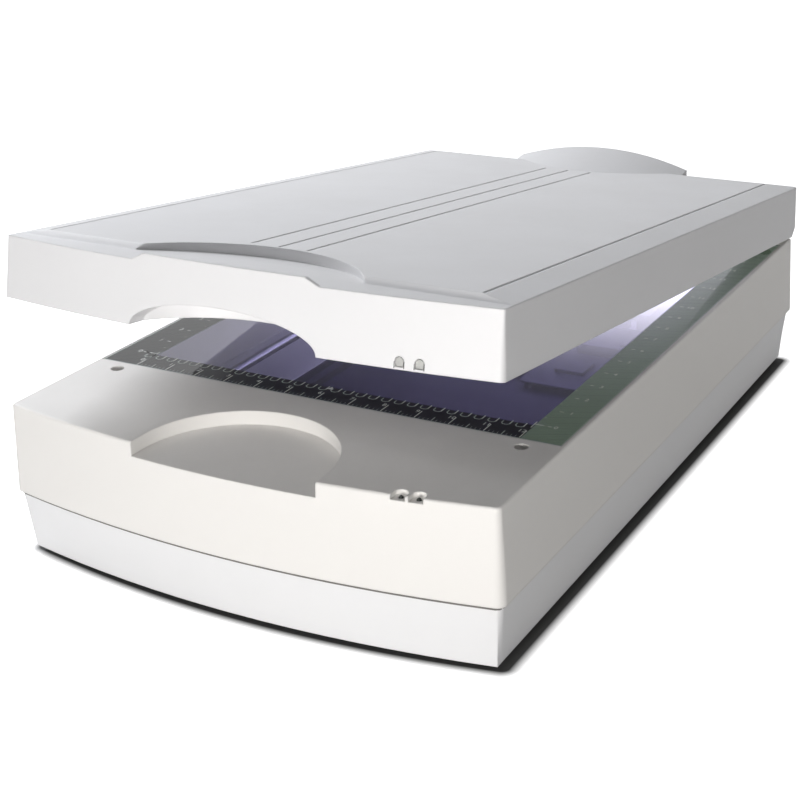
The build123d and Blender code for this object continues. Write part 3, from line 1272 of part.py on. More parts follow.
def lid_pieces():
    return {
        "lid_top_cover": lid_top_cover(), "lid_bottom_frame": lid_bottom_frame(),
        "diffuser_panel": diffuser_panel(), "lid_bumpers": lid_bumpers(), "lid_screws": lid_screws(),
        "light_guides": light_guides(), "lid_cable_gland": lid_cable_gland(),
        "hinge_brackets": group([hinge_bracket(-1), hinge_bracket(1)]), "hinge_pins": hinge_pins(),
        "friction_washers": friction_washers(),
        "lid_guide_rod": lid_guide_rod(), "lid_timing_belt": lid_timing_belt(),
        "lid_drive_pulley": lid_drive_pulley(), "lid_idler_pulley": lid_idler_pulley(),
        "lid_motor": lid_motor(), "lid_board": lid_board(), "lid_lamp_carriage": lid_lamp_carriage(),
        "lid_lamp_tube": lid_lamp_tube(), "lid_reflector": lid_reflector(),
    }


def all_pieces():
    """Every piece at rest, moved so that the origin is under the middle of the footprint."""
    pieces = base_pieces()
    hinge = Axis((0, HINGE_Y, HINGE_Z), (1, 0, 0))
    for name, shape in lid_pieces().items():
        pieces[name] = shape.rotate(hinge, -LID_REST_OPEN)
    boxes = [shape.bounding_box() for shape in pieces.values()]
    front = min(box.min.Y for box in boxes)
    rear = max(box.max.Y for box in boxes)
    middle = (front + rear) / 2
    return {name: Pos(0, -middle, 0) * shape for name, shape in pieces.items()}, middle


PIECES, MIDDLE_Y = all_pieces()
os.makedirs("parts", exist_ok=True)
for node, solid in PIECES.items():
    export_step(solid, f"parts/{node}.step")
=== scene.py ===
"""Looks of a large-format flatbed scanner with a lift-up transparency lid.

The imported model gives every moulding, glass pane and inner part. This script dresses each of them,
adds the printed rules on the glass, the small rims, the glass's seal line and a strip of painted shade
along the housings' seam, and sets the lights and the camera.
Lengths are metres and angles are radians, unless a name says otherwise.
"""

import json
import logging
import math
from dataclasses import dataclass
from enum import Enum
from typing import Iterable, Sequence

import bmesh
import bpy
from bpy.types import Material, Node, NodeSocket, NodeTree, Object
from mathutils import Matrix, Vector


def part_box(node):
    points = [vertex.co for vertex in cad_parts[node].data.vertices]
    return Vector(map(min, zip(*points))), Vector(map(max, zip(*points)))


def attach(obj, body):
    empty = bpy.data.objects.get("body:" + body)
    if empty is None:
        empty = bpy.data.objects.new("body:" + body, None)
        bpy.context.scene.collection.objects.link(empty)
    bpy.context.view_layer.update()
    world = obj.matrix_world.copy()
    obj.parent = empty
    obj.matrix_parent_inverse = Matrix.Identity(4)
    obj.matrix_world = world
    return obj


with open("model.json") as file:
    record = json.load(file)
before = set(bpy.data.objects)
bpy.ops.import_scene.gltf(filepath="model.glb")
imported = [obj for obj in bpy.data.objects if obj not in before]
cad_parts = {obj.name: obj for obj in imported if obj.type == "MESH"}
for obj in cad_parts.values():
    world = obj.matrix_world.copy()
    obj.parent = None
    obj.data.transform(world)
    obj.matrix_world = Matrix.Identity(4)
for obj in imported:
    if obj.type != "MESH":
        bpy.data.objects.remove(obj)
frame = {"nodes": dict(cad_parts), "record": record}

LOG = logging.getLogger("scanner")
Sockets = bpy.types.bpy_prop_collection
Rgb = tuple[float, float, float]
Point = tuple[float, float, float]
WARM_LIGHT: Rgb = (1.0, 0.985, 0.965)
COOL_LIGHT: Rgb = (0.94, 0.96, 1.0)


# ---- Node wiring
class Wiring:
    """Adds nodes to one node tree and links them."""

    def __init__(self, tree: NodeTree) -> None:
        """Keep the tree that nodes are added to."""
        self.tree = tree

    def node(self, kind: str, **settings: object) -> Node:
        """Add a node.

        Args:
            kind: Blender's name of the node type.
            settings: Properties to set on it.

        Returns:
            The new node.
        """
        made = self.tree.nodes.new(kind)
        for key, value in settings.items():
            setattr(made, key, value)
        return made

    def link(self, source: NodeSocket, target: NodeSocket) -> None:
        """Join an output to an input."""
        self.tree.links.new(source, target)

    def fill(self, made: Node, values: dict[str, object]) -> None:
        """Give inputs their values.

        Args:
            made: The node.
            values: A socket, a colour or a number for each input's name.
        """
        for name, value in values.items():
            self.feed(made.inputs[name], value)

    def feed(self, target: NodeSocket, value: object) -> None:
        """Give one input its value.

        Args:
            target: The input.
            value: A socket, a colour or a number.
        """
        if isinstance(value, NodeSocket):
            self.link(value, target)
        else:
            target.default_value = (*value, 1.0) if target.type == "RGBA" else value

    def place(self, kind: str = "Object") -> NodeSocket:
        """Give a texture coordinate."""
        return self.node("ShaderNodeTexCoord").outputs[kind]

    def axes(self, vector: NodeSocket) -> Sockets:
        """Split a vector.

        Args:
            vector: The vector.

        Returns:
            Its X, Y and Z, by name.
        """
        made = self.node("ShaderNodeSeparateXYZ")
        self.link(vector, made.inputs[0])
        return made.outputs

    def math(self, operation: str, first: object, second: object = 0.0) -> NodeSocket:
        """Add a Math node.

        Args:
            operation: Its operation.
            first: A socket or a number.
            second: A socket or a number.

        Returns:
            Its output.
        """
        made = self.node("ShaderNodeMath", operation=operation)
        for place, value in enumerate((first, second)):
            self.feed(made.inputs[place], value)
        return made.outputs[0]

    def spread(self, value: NodeSocket, low: object, high: object,
               start: float = 0.0, end: float = 1.0) -> NodeSocket:
        """Map a value from start..end to low..high.

        Args:
            value: The value to map.
            low: Result at start, a socket or a number.
            high: Result at end, a socket or a number.
            start: Lower end of the value.
            end: Upper end of the value.

        Returns:
            The mapped value.
        """
        made = self.node("ShaderNodeMapRange")
        self.fill(made, {"Value": value, "From Min": start, "From Max": end,
                         "To Min": low, "To Max": high})
        return made.outputs["Result"]

    def noise(self, place: NodeSocket, scale: object, detail: float = 2.0,
              roughness: float = 0.5) -> NodeSocket:
        """Add a noise texture.

        Args:
            place: Where on the surface it is read.
            scale: Features per metre, a socket or a number.
            detail: Layers of finer noise.
            roughness: Strength of the finer layers.

        Returns:
            Its value, about 0 to 1.
        """
        made = self.node("ShaderNodeTexNoise")
        self.fill(made, {"Vector": place, "Scale": scale, "Detail": detail, "Roughness": roughness})
        return made.outputs["Fac"]

    def mix(self, share: object, first: object, second: object,
            blend: str = "MIX") -> NodeSocket:
        """Mix two colours.

        Args:
            share: How much of the second, a socket or a number.
            first: A colour or a socket.
            second: A colour or a socket.
            blend: How they are mixed.

        Returns:
            The mixed colour.
        """
        made = self.node("ShaderNodeMix", data_type="RGBA", blend_type=blend)
        for name, value in (("Factor_Float", share), ("A_Color", first), ("B_Color", second)):
            self.feed(next(s for s in made.inputs if s.identifier == name), value)
        return next(s for s in made.outputs if s.identifier == "Result_Color")


class Shader(Wiring):
    """Wiring of a new material, with its Principled BSDF."""

    def __init__(self, name: str) -> None:
        """Start the material.

        Args:
            name: Name of the material.
        """
        self.made = bpy.data.materials.new(name)
        self.made.use_nodes = True
        super().__init__(self.made.node_tree)
        self.tree.nodes.clear()
        self.surface = self.node("ShaderNodeBsdfPrincipled")
        out = self.node("ShaderNodeOutputMaterial")
        self.link(self.surface.outputs["BSDF"], out.inputs["Surface"])

    def effect(self, effect: "Effect", values: dict[str, object]) -> Node:
        """Put a shared effect in a material with its own values.

        Args:
            effect: Which effect.
            values: Value of each input.

        Returns:
            The group node.
        """
        made = self.node("ShaderNodeGroup")
        made.node_tree = EFFECTS.group(effect)
        self.fill(made, values)
        return made

    def bump(self, height: NodeSocket, depth: float, strength: float,
             edge_radius: float = 0.0) -> None:
        """Raise the surface by a height pattern.

        Args:
            height: The pattern.
            depth: Depth of the pattern in metres.
            strength: Share of it that shows.
            edge_radius: Radius that the edges seem to have, in metres.
        """
        made = self.node("ShaderNodeBump")
        if edge_radius:
            edges = self.node("ShaderNodeBevel", samples=6)
            edges.inputs["Radius"].default_value = edge_radius
            self.link(edges.outputs["Normal"], made.inputs["Normal"])
        made.inputs["Distance"].default_value = depth
        made.inputs["Strength"].default_value = strength
        self.link(height, made.inputs["Height"])
        self.link(made.outputs["Normal"], self.surface.inputs["Normal"])


class Effect(Enum):
    """The shared surface effects, each named after the method that builds its node group."""

    MOULD_GRAIN = "mould_grain"
    SETTLED_DUST = "settled_dust"
    EDGE_WEAR_AND_HIGHLIGHT = "edge_wear_and_highlight"
    BRUSHED_LINES = "brushed_lines"


class EffectLibrary:
    """Builds each shared node group once. A band is the part of a pattern that is spread to 0..1."""

    CLOUDS_PER_METRE = 9.0
    CLOUD_BAND = (0.3, 0.75)
    SPECKLE_SHARE = 0.35
    SPECKLE_BAND = (0.35, 0.75)
    FINE_BAND = (0.3, 0.7)
    LEVEL_BAND = (0.55, 0.95)
    PATCH_BAND = (0.38, 0.7)
    SPECKS_PER_METRE = 900.0
    SPECK_SHARE = 0.6
    SPECK_BAND = (0.62, 0.72)
    EDGE_RADIUS = 0.0012
    EDGE_BAND = (0.8, 0.995)
    EDGE_BREAKS_PER_METRE = 60.0
    LEAST_EDGE_SHARE = 0.35
    EDGE_BREAK_BAND = (0.35, 0.65)
    LINE_STRETCH = (0.02, 1.0, 1.0)
    LINE_SHARE = 0.6
    LINE_BAND = (0.35, 0.65)
    STAINS_PER_METRE = 25.0
    STAIN_SHARE = 0.5
    STAIN_BAND = (0.4, 0.75)

    def __init__(self) -> None:
        """Start with no group built."""
        self.built: dict[Effect, NodeTree] = {}

    def group(self, effect: Effect) -> NodeTree:
        """Give an effect's node group, built at its first use.

        Args:
            effect: Which effect.

        Returns:
            Its node group.
        """
        if effect not in self.built:
            self.built[effect] = getattr(self, effect.value)()
        return self.built[effect]

    @staticmethod
    def empty_group(effect: Effect, inputs: dict[str, object],
                    outputs: Sequence[str]) -> tuple[Wiring, Sockets, Sockets]:
        """Make a group with named sockets.

        Args:
            effect: The effect it is for.
            inputs: Name and default value of each input.
            outputs: Name of each output, Colour for a colour.

        Returns:
            Wiring for the group, what it is given and what it results in.
        """
        tree = bpy.data.node_groups.new(effect.value, "ShaderNodeTree")
        for name, value in inputs.items():
            kind = "NodeSocketColor" if isinstance(value, tuple) else "NodeSocketFloat"
            made = tree.interface.new_socket(name, in_out="INPUT", socket_type=kind)
            made.default_value = (*value, 1.0) if isinstance(value, tuple) else value
        for name in outputs:
            kind = "NodeSocketColor" if name == "Colour" else "NodeSocketFloat"
            tree.interface.new_socket(name, in_out="OUTPUT", socket_type=kind)
        wiring = Wiring(tree)
        given, result = wiring.node("NodeGroupInput"), wiring.node("NodeGroupOutput")
        return wiring, given.outputs, result.inputs

    def mould_grain(self) -> NodeTree:
        """Fine texture of a moulded surface, with faint clouds of tone.

        Returns:
            The node group.
        """
        w, given, result = self.empty_group(
            Effect.MOULD_GRAIN,
            {"Tone": (0.8, 0.8, 0.8), "Shade": (0.7, 0.7, 0.7), "Grains per metre": 2400.0,
             "Cloud": 0.5, "Roughness": 0.5, "Roughness spread": 0.08},
            ("Colour", "Roughness", "Height"))
        place = w.place()
        grain = w.noise(place, given["Grains per metre"], 3.0, 0.6)
        cloud = w.noise(place, self.CLOUDS_PER_METRE, 4.0, 0.55)
        share = w.math("MULTIPLY", w.spread(cloud, 0.0, 1.0, *self.CLOUD_BAND), given["Cloud"])
        speckle = w.math("MULTIPLY", w.spread(grain, 0.0, self.SPECKLE_SHARE, *self.SPECKLE_BAND),
                         given["Cloud"])
        tone = w.mix(w.math("ADD", share, speckle), given["Tone"], given["Shade"])
        w.link(tone, result["Colour"])
        high = w.math("ADD", given["Roughness"], given["Roughness spread"])
        rough = w.spread(grain, given["Roughness"], high, *self.FINE_BAND)
        w.link(rough, result["Roughness"])
        w.link(grain, result["Height"])
        return w.tree

    def settled_dust(self) -> NodeTree:
        """Mask of dust lying on faces that look up, thicker in soft patches.

        Returns:
            The node group.
        """
        w, given, result = self.empty_group(
            Effect.SETTLED_DUST, {"Amount": 0.3, "Patches per metre": 14.0},
            ("Mask",))
        axes = w.axes(w.node("ShaderNodeNewGeometry").outputs["Normal"])
        up = w.spread(axes["Z"], 0.0, 1.0, *self.LEVEL_BAND)
        place = w.place()
        patchy = w.noise(place, given["Patches per metre"], 5.0, 0.65)
        patches = w.spread(patchy, 0.0, 1.0, *self.PATCH_BAND)
        speckled = w.noise(place, self.SPECKS_PER_METRE, 1.0)
        specks = w.spread(speckled, 0.0, self.SPECK_SHARE, *self.SPECK_BAND)
        lying = w.math("MULTIPLY", up, w.math("ADD", patches, specks))
        w.link(w.math("MULTIPLY", lying, given["Amount"]), result["Mask"])
        return w.tree

    def edge_wear_and_highlight(self) -> NodeTree:
        """Mask of the outer edges, for wear from hands and papers and for a painted edge highlight.

        Returns:
            The node group.
        """
        w, given, result = self.empty_group(
            Effect.EDGE_WEAR_AND_HIGHLIGHT, {"Amount": 0.5}, ("Mask",))
        geometry = w.node("ShaderNodeNewGeometry")
        bevel = w.node("ShaderNodeBevel", samples=4)
        bevel.inputs["Radius"].default_value = self.EDGE_RADIUS
        turn = w.node("ShaderNodeVectorMath", operation="DOT_PRODUCT")
        w.link(geometry.outputs["Normal"], turn.inputs[0])
        w.link(bevel.outputs["Normal"], turn.inputs[1])
        edge = w.spread(turn.outputs["Value"], 1.0, 0.0, *self.EDGE_BAND)
        place = w.place()
        edge_noise = w.noise(place, self.EDGE_BREAKS_PER_METRE, 4.0, 0.6)
        broken = w.spread(edge_noise, self.LEAST_EDGE_SHARE, 1.0, *self.EDGE_BREAK_BAND)
        w.link(w.math("MULTIPLY", w.math("MULTIPLY", edge, broken), given["Amount"]),
               result["Mask"])
        return w.tree

    def brushed_lines(self) -> NodeTree:
        """Fine lines of rolled or ground metal, running across the object.

        Returns:
            The node group.
        """
        w, given, result = self.empty_group(
            Effect.BRUSHED_LINES,
            {"Tone": (0.6, 0.6, 0.6), "Shade": (0.4, 0.4, 0.4), "Lines per metre": 3000.0,
             "Roughness": 0.3, "Roughness spread": 0.15},
            ("Colour", "Roughness", "Height"))
        place = w.place()
        squeezed = w.node("ShaderNodeMapping")
        w.link(place, squeezed.inputs["Vector"])
        squeezed.inputs["Scale"].default_value = self.LINE_STRETCH
        lines = w.noise(squeezed.outputs["Vector"], given["Lines per metre"], 2.0, 0.7)
        stained = w.noise(place, self.STAINS_PER_METRE, 3.0)
        stains = w.spread(stained, 0.0, self.STAIN_SHARE, *self.STAIN_BAND)
        share = w.math("ADD", w.spread(lines, 0.0, self.LINE_SHARE, *self.LINE_BAND), stains)
        w.link(w.mix(share, given["Tone"], given["Shade"]), result["Colour"])
        high = w.math("ADD", given["Roughness"], given["Roughness spread"])
        rough = w.spread(lines, given["Roughness"], high, *self.FINE_BAND)
        w.link(rough, result["Roughness"])
        w.link(lines, result["Height"])
        return w.tree


EFFECTS = EffectLibrary()


# ---- Finishes
class Finish:
    """A finish that can give its Blender material."""

    name: str

    def dress(self, w: Shader) -> None:
        """Make this finish's nodes. Each finish has its own.

        Args:
            w: Shader that they go in.
        """
        raise NotImplementedError

    def material(self) -> Material:
        """Give this finish's material, made at its first use.

        Returns:
            The material.
        """
        found = bpy.data.materials.get(self.name)
        if found is None:
            w = Shader(self.name)
            self.dress(w)
            found = w.made
        return found


@dataclass(frozen=True)
class MouldedPlastic(Finish):
    """Painted or self-coloured moulding with a fine even texture."""

    name: str
    tone: Rgb
    shade: Rgb
    roughness: float = 0.42
    spread: float = 0.1
    grains: float = 2600.0
    relief: float = 0.000012
    cloud: float = 0.25
    dust: float = 0.12
    dust_tone: Rgb = (0.62, 0.60, 0.57)
    wear_and_highlight: float = 0.0
    wear_and_highlight_tone: Rgb = (0.95, 0.95, 0.95)
    specular: float = 0.4
    edge_radius: float = 0.0
    dust_roughness: float = 0.3
    relief_share: float = 0.5

    def dress(self, w: Shader) -> None:
        """Make the moulding's nodes.

        Args:
            w: Shader that they go in.
        """
        grain = w.effect(Effect.MOULD_GRAIN, {
            "Tone": self.tone, "Shade": self.shade, "Grains per metre": self.grains,
            "Cloud": self.cloud, "Roughness": self.roughness, "Roughness spread": self.spread})
        colour = grain.outputs["Colour"]
        # Edges take wear_and_highlight_tone: wear, plus a painted highlight where that tone is lighter.
        if self.wear_and_highlight:
            worn_and_lit = w.effect(Effect.EDGE_WEAR_AND_HIGHLIGHT, {"Amount": self.wear_and_highlight})
            colour = w.mix(worn_and_lit.outputs["Mask"], colour, self.wear_and_highlight_tone)
        lying = w.effect(Effect.SETTLED_DUST, {"Amount": self.dust})
        colour = w.mix(lying.outputs["Mask"], colour, self.dust_tone)
        rough = w.math("ADD", grain.outputs["Roughness"],
                       w.math("MULTIPLY", lying.outputs["Mask"], self.dust_roughness))
        w.fill(w.surface, {"Base Color": colour, "Roughness": rough,
                         "Specular IOR Level": self.specular})
        w.bump(grain.outputs["Height"], self.relief, self.relief_share, self.edge_radius)


@dataclass(frozen=True)
class WorkedMetal(Finish):
    """Rolled, ground or plated metal."""

    name: str
    tone: Rgb
    shade: Rgb
    roughness: float = 0.28
    spread: float = 0.18
    lines: float = 3000.0
    relief: float = 0.000006

    def dress(self, w: Shader) -> None:
        """Make the metal's nodes.

        Args:
            w: Shader that they go in.
        """
        lines = w.effect(Effect.BRUSHED_LINES, {
            "Tone": self.tone, "Shade": self.shade, "Lines per metre": self.lines,
            "Roughness": self.roughness, "Roughness spread": self.spread})
        w.fill(w.surface, {"Base Color": lines.outputs["Colour"],
                         "Roughness": lines.outputs["Roughness"], "Metallic": 1.0})
        w.bump(lines.outputs["Height"], self.relief, 0.4)


@dataclass(frozen=True)
class ClearSheet(Finish):
    """Glass or clear plastic."""

    name: str
    tint: Rgb
    roughness: float = 0.0
    ior: float = 1.5
    smears: float = 0.03
    wipes: float = 22.0
    transmission: float = 1.0

    def dress(self, w: Shader) -> None:
        """Make the sheet's nodes: clear, with faint wiping marks in its gloss.

        Args:
            w: Shader that they go in.
        """
        marks = w.spread(w.noise(w.place(), self.wipes, 5.0, 0.7), self.roughness,
                         self.roughness + self.smears, 0.5, 0.8)
        w.link(marks, w.surface.inputs["Roughness"])
        w.surface.inputs["Base Color"].default_value = (*self.tint, 1.0)
        w.surface.inputs["Metallic"].default_value = 0.0
        w.surface.inputs["IOR"].default_value = self.ior
        w.surface.inputs["Transmission Weight"].default_value = self.transmission


@dataclass(frozen=True)
class PaintedGlowGlass(ClearSheet):
    """Bed glass with a painted glow over the scan area that rises toward the rear: a painted
    reflection, since no lamp lights it.
    """

    half_width: float = 0.1524
    glow: Rgb = (0.93, 0.91, 1.0)
    glow_from: float = -0.10
    glow_to: float = 0.11
    strength: float = 0.6

    def dress(self, w: Shader) -> None:
        """Make the clear glass's nodes and add the painted glow.

        Args:
            w: Shader that they go in.
        """
        super().dress(w)
        axes = w.axes(w.place())
        nearness = w.spread(axes["Y"], 0.0, 1.0, self.glow_from, self.glow_to)
        within = w.math("LESS_THAN", w.math("ABSOLUTE", axes["X"]), self.half_width)
        share = w.math("MULTIPLY", w.math("POWER", nearness, 2.0), within)
        # Painted reflection: emission that grows toward the rear of the scan area.
        w.fill(w.surface, {"Emission Color": w.mix(share, (0.0, 0.0, 0.0), self.glow),
                           "Emission Strength": self.strength})


@dataclass(frozen=True)
class PrintedInk(Finish):
    """Screen-printed ink, with the thin spots and pinholes of a real print."""

    name: str
    tone: Rgb
    thin_tone: Rgb
    roughness: float = 0.35
    pinholes: float = 1500.0

    def dress(self, w: Shader) -> None:
        """Make the ink's nodes.

        Args:
            w: Shader that they go in.
        """
        thin = w.spread(w.noise(w.place(), self.pinholes, 2.0, 0.6), 0.0, 0.8, 0.5, 0.75)
        w.link(w.mix(thin, self.tone, self.thin_tone), w.surface.inputs["Base Color"])
        w.link(w.spread(thin, self.roughness, self.roughness + 0.2), w.surface.inputs["Roughness"])


@dataclass(frozen=True)
class MaskInk(Finish):
    """The dark print round the scan area: near-black in front and green-grey along both sides. The
    right side is lighter and glows faintly: painted light against the lid's shadow.
    """

    name: str
    front_tone: Rgb = (0.006, 0.008, 0.009)
    left_tone: Rgb = (0.34, 0.46, 0.40)
    # The right side's tone is lighter than the left's: painted light.
    right_painted_light_tone: Rgb = (0.42, 0.52, 0.50)
    right_painted_glow: Rgb = (0.065, 0.083, 0.048)
    side_from: float = 0.1524
    blur: float = 0.0002

    def dress(self, w: Shader) -> None:
        """Make the print's nodes.

        Args:
            w: Shader that they go in.
        """
        place = w.place()
        axes = w.axes(place)
        across = w.math("ABSOLUTE", axes["X"])
        side = w.spread(across, 0.0, 1.0, self.side_from - self.blur, self.side_from + self.blur)
        uneven = w.spread(w.noise(place, 40.0, 3.0), 0.85, 1.0)
        on_right = w.spread(axes["X"], 0.0, 1.0, -self.side_from, self.side_from)
        side_tone = w.mix(on_right, self.left_tone, self.right_painted_light_tone)
        w.link(w.mix(w.math("MULTIPLY", side, uneven), self.front_tone, side_tone),
               w.surface.inputs["Base Color"])
        # Painted light: a faint glow on the right side strip only.
        painted_glow_share = w.math("MULTIPLY", w.math("MULTIPLY", side, on_right), uneven)
        w.fill(w.surface, {"Emission Color": w.mix(painted_glow_share, (0.0, 0.0, 0.0), self.right_painted_glow),
                           "Emission Strength": 1.0})
        w.link(w.spread(w.noise(place, 900.0), 0.38, 0.5), w.surface.inputs["Roughness"])


@dataclass(frozen=True)
class PaintedGlowDiffuser(Finish):
    """Milk-white sheet toned grey as painted shade, with a painted glow that is strongest at the rear.
    """

    name: str
    # Grey tone and shade instead of milk white: painted shade of the lid's unlit underside.
    tone: Rgb = (0.50, 0.50, 0.54)
    shade: Rgb = (0.46, 0.46, 0.5)
    far_glow: Rgb = (0.003, 0.0025, 0.005)
    near_glow: Rgb = (1.0, 0.99, 1.0)
    far_share: float = 0.22
    near_share: float = 1.0
    strength: float = 0.9

    def dress(self, w: Shader) -> None:
        """Make the sheet's nodes.

        Args:
            w: Shader that they go in.
        """
        place = w.place()
        axes = w.axes(w.place("Generated"))
        nearness = w.spread(axes["Y"], 0.0, 1.0, self.far_share, self.near_share)
        uneven = w.spread(w.noise(place, 12.0, 2.0), 0.94, 1.0)
        share = w.math("MULTIPLY", w.math("POWER", nearness, 2.0), uneven)
        grain = w.effect(Effect.MOULD_GRAIN, {
            "Tone": self.tone, "Shade": self.shade, "Grains per metre": 3000.0,
            "Cloud": 0.2, "Roughness": 0.3, "Roughness spread": 0.06})
        # Painted glow: emission that grows toward the rear; no lamp lights the sheet.
        w.fill(w.surface, {"Emission Color": w.mix(share, self.far_glow, self.near_glow),
                           "Emission Strength": self.strength, "Base Color": grain.outputs["Colour"],
                           "Roughness": grain.outputs["Roughness"]})


@dataclass(frozen=True)
class CircuitLaminate(Finish):
    """Circuit board: blue-black lacquer over copper runs."""

    name: str
    lacquer: Rgb = (0.010, 0.011, 0.034)
    copper: Rgb = (0.04, 0.038, 0.075)
    run_pitch: float = 420.0

    def dress(self, w: Shader) -> None:
        """Make the board's nodes.

        Args:
            w: Shader that they go in.
        """
        place = w.place()
        runs = w.node("ShaderNodeTexVoronoi", feature="DISTANCE_TO_EDGE", distance="MANHATTAN")
        w.link(place, runs.inputs["Vector"])
        runs.inputs["Scale"].default_value = self.run_pitch
        line = w.spread(runs.outputs["Distance"], 1.0, 0.0, 0.03, 0.08)
        w.link(w.mix(line, self.lacquer, self.copper), w.surface.inputs["Base Color"])
        w.link(w.spread(w.noise(place, 300.0), 0.25, 0.4), w.surface.inputs["Roughness"])
        w.bump(line, 0.00004, 0.6)


class Palette:
    """Every finish of the scanner, by its slot in the record."""

    lid = MouldedPlastic("lid_moulding", (0.81, 0.805, 0.81), (0.775, 0.77, 0.78), roughness=0.4,
                         edge_radius=0.0016)
    upper = MouldedPlastic("upper_moulding", (0.83, 0.812, 0.785), (0.79, 0.772, 0.745), roughness=0.42,
                           edge_radius=0.0016)
    lower = MouldedPlastic("lower_moulding", (0.82, 0.82, 0.825), (0.785, 0.785, 0.80), roughness=0.45,
                           edge_radius=0.0012)
    by_slot: dict[str, Finish] = {
        "warm_white_plastic": upper,
        "cool_white_plastic": lower,
        "lid_plastic": lid,
        "inner_plastic": MouldedPlastic("inner_black_moulding", (0.02, 0.02, 0.022),
                                        (0.03, 0.03, 0.032), roughness=0.5, wear_and_highlight=0.25,
                                        wear_and_highlight_tone=(0.08, 0.08, 0.085)),
        "glass": PaintedGlowGlass("bed_glass", (0.60, 0.58, 0.80), ior=1.5),
        "mask_print": MaskInk("mask_dark_print"),
        "white_strip": PrintedInk("calibration_white", (0.85, 0.85, 0.84), (0.75, 0.75, 0.74), 0.5),
        "rubber": MouldedPlastic("soft_rubber", (0.022, 0.022, 0.023), (0.04, 0.04, 0.04),
                                 roughness=0.72, grains=1800.0, relief=0.00003, dust=0.35,
                                 dust_tone=(0.2, 0.19, 0.18)),
        "steel": WorkedMetal("zinc_steel", (0.52, 0.53, 0.54), (0.34, 0.35, 0.36)),
        "ground_steel": WorkedMetal("ground_rod_steel", (0.68, 0.68, 0.68), (0.5, 0.5, 0.5),
                                    roughness=0.14, spread=0.1, lines=5000.0),
        "aluminium": WorkedMetal("bright_aluminium", (0.82, 0.83, 0.84), (0.62, 0.63, 0.64),
                                 roughness=0.2),
        "belt_rubber": MouldedPlastic("belt_rubber", (0.016, 0.016, 0.017), (0.03, 0.03, 0.03),
                                      roughness=0.66, grains=1400.0, relief=0.00005, dust=0.2,
                                      dust_tone=(0.12, 0.12, 0.11)),
        "bronze": WorkedMetal("sintered_bronze", (0.42, 0.24, 0.10), (0.26, 0.14, 0.06), roughness=0.4),
        "gear_plastic": MouldedPlastic("pulley_plastic", (0.72, 0.70, 0.62), (0.62, 0.6, 0.52),
                                       roughness=0.38, wear_and_highlight=0.3, wear_and_highlight_tone=(0.4, 0.39, 0.36)),
        "board": CircuitLaminate("board_laminate"),
        "motor_metal": WorkedMetal("motor_can", (0.30, 0.30, 0.31), (0.16, 0.16, 0.17), roughness=0.35),
        "lamp_glass": MouldedPlastic("lamp_phosphor", (0.86, 0.87, 0.88), (0.8, 0.82, 0.84),
                                     roughness=0.12, dust=0.1, relief=0.000002),
        "mirror": WorkedMetal("front_silvered_glass", (0.9, 0.91, 0.92), (0.82, 0.83, 0.85),
                              roughness=0.02, spread=0.03, relief=0.0000005),
        "led_lens": MouldedPlastic("led_lens_smoked", (0.010, 0.013, 0.011), (0.02, 0.024, 0.021),
                                   roughness=0.12, relief=0.000003, dust=0.05),
        "clear_guide": ClearSheet("light_guide_acrylic", (0.93, 0.93, 0.90), roughness=0.15, smears=0.1,
                                  ior=1.49, transmission=0.55),
        "diffuser": PaintedGlowDiffuser("milk_acrylic"),
        "hinge_plastic": MouldedPlastic("hinge_acetal", (0.74, 0.71, 0.65), (0.68, 0.65, 0.59),
                                        roughness=0.34, wear_and_highlight=0.35, wear_and_highlight_tone=(0.9, 0.88, 0.84)),
        "black_plastic": MouldedPlastic("socket_black", (0.014, 0.014, 0.015), (0.024, 0.024, 0.025),
                                        roughness=0.4, wear_and_highlight=0.3, wear_and_highlight_tone=(0.07, 0.07, 0.07)),
    }
    # Near-black violet for steel parts inside: painted shade of the dark inside seen through the glass.
    inside_shade_coat = MouldedPlastic("painted_shade_black_coat", (0.010, 0.007, 0.034), (0.016, 0.012, 0.046),
                                 roughness=0.55, relief=0.00002, dust=0.05, dust_tone=(0.1, 0.1, 0.12))
    rule_ink = PrintedInk("rule_white_ink", (0.80, 0.83, 0.81), (0.55, 0.6, 0.58), 0.4)
    faint_ink = PrintedInk("rule_faint_ink", (0.52, 0.58, 0.56), (0.36, 0.42, 0.40), 0.4)
    seal = PrintedInk("glass_seal_line", (0.55, 0.60, 0.57), (0.42, 0.47, 0.45), 0.35)
    seam_shade = MouldedPlastic("painted_seam_shade_grey", (0.17, 0.16, 0.15), (0.13, 0.125, 0.12), roughness=0.7,
                            dust=0.2)
    rim = MouldedPlastic("window_rim_black", (0.03, 0.03, 0.032), (0.05, 0.05, 0.052), roughness=0.35)


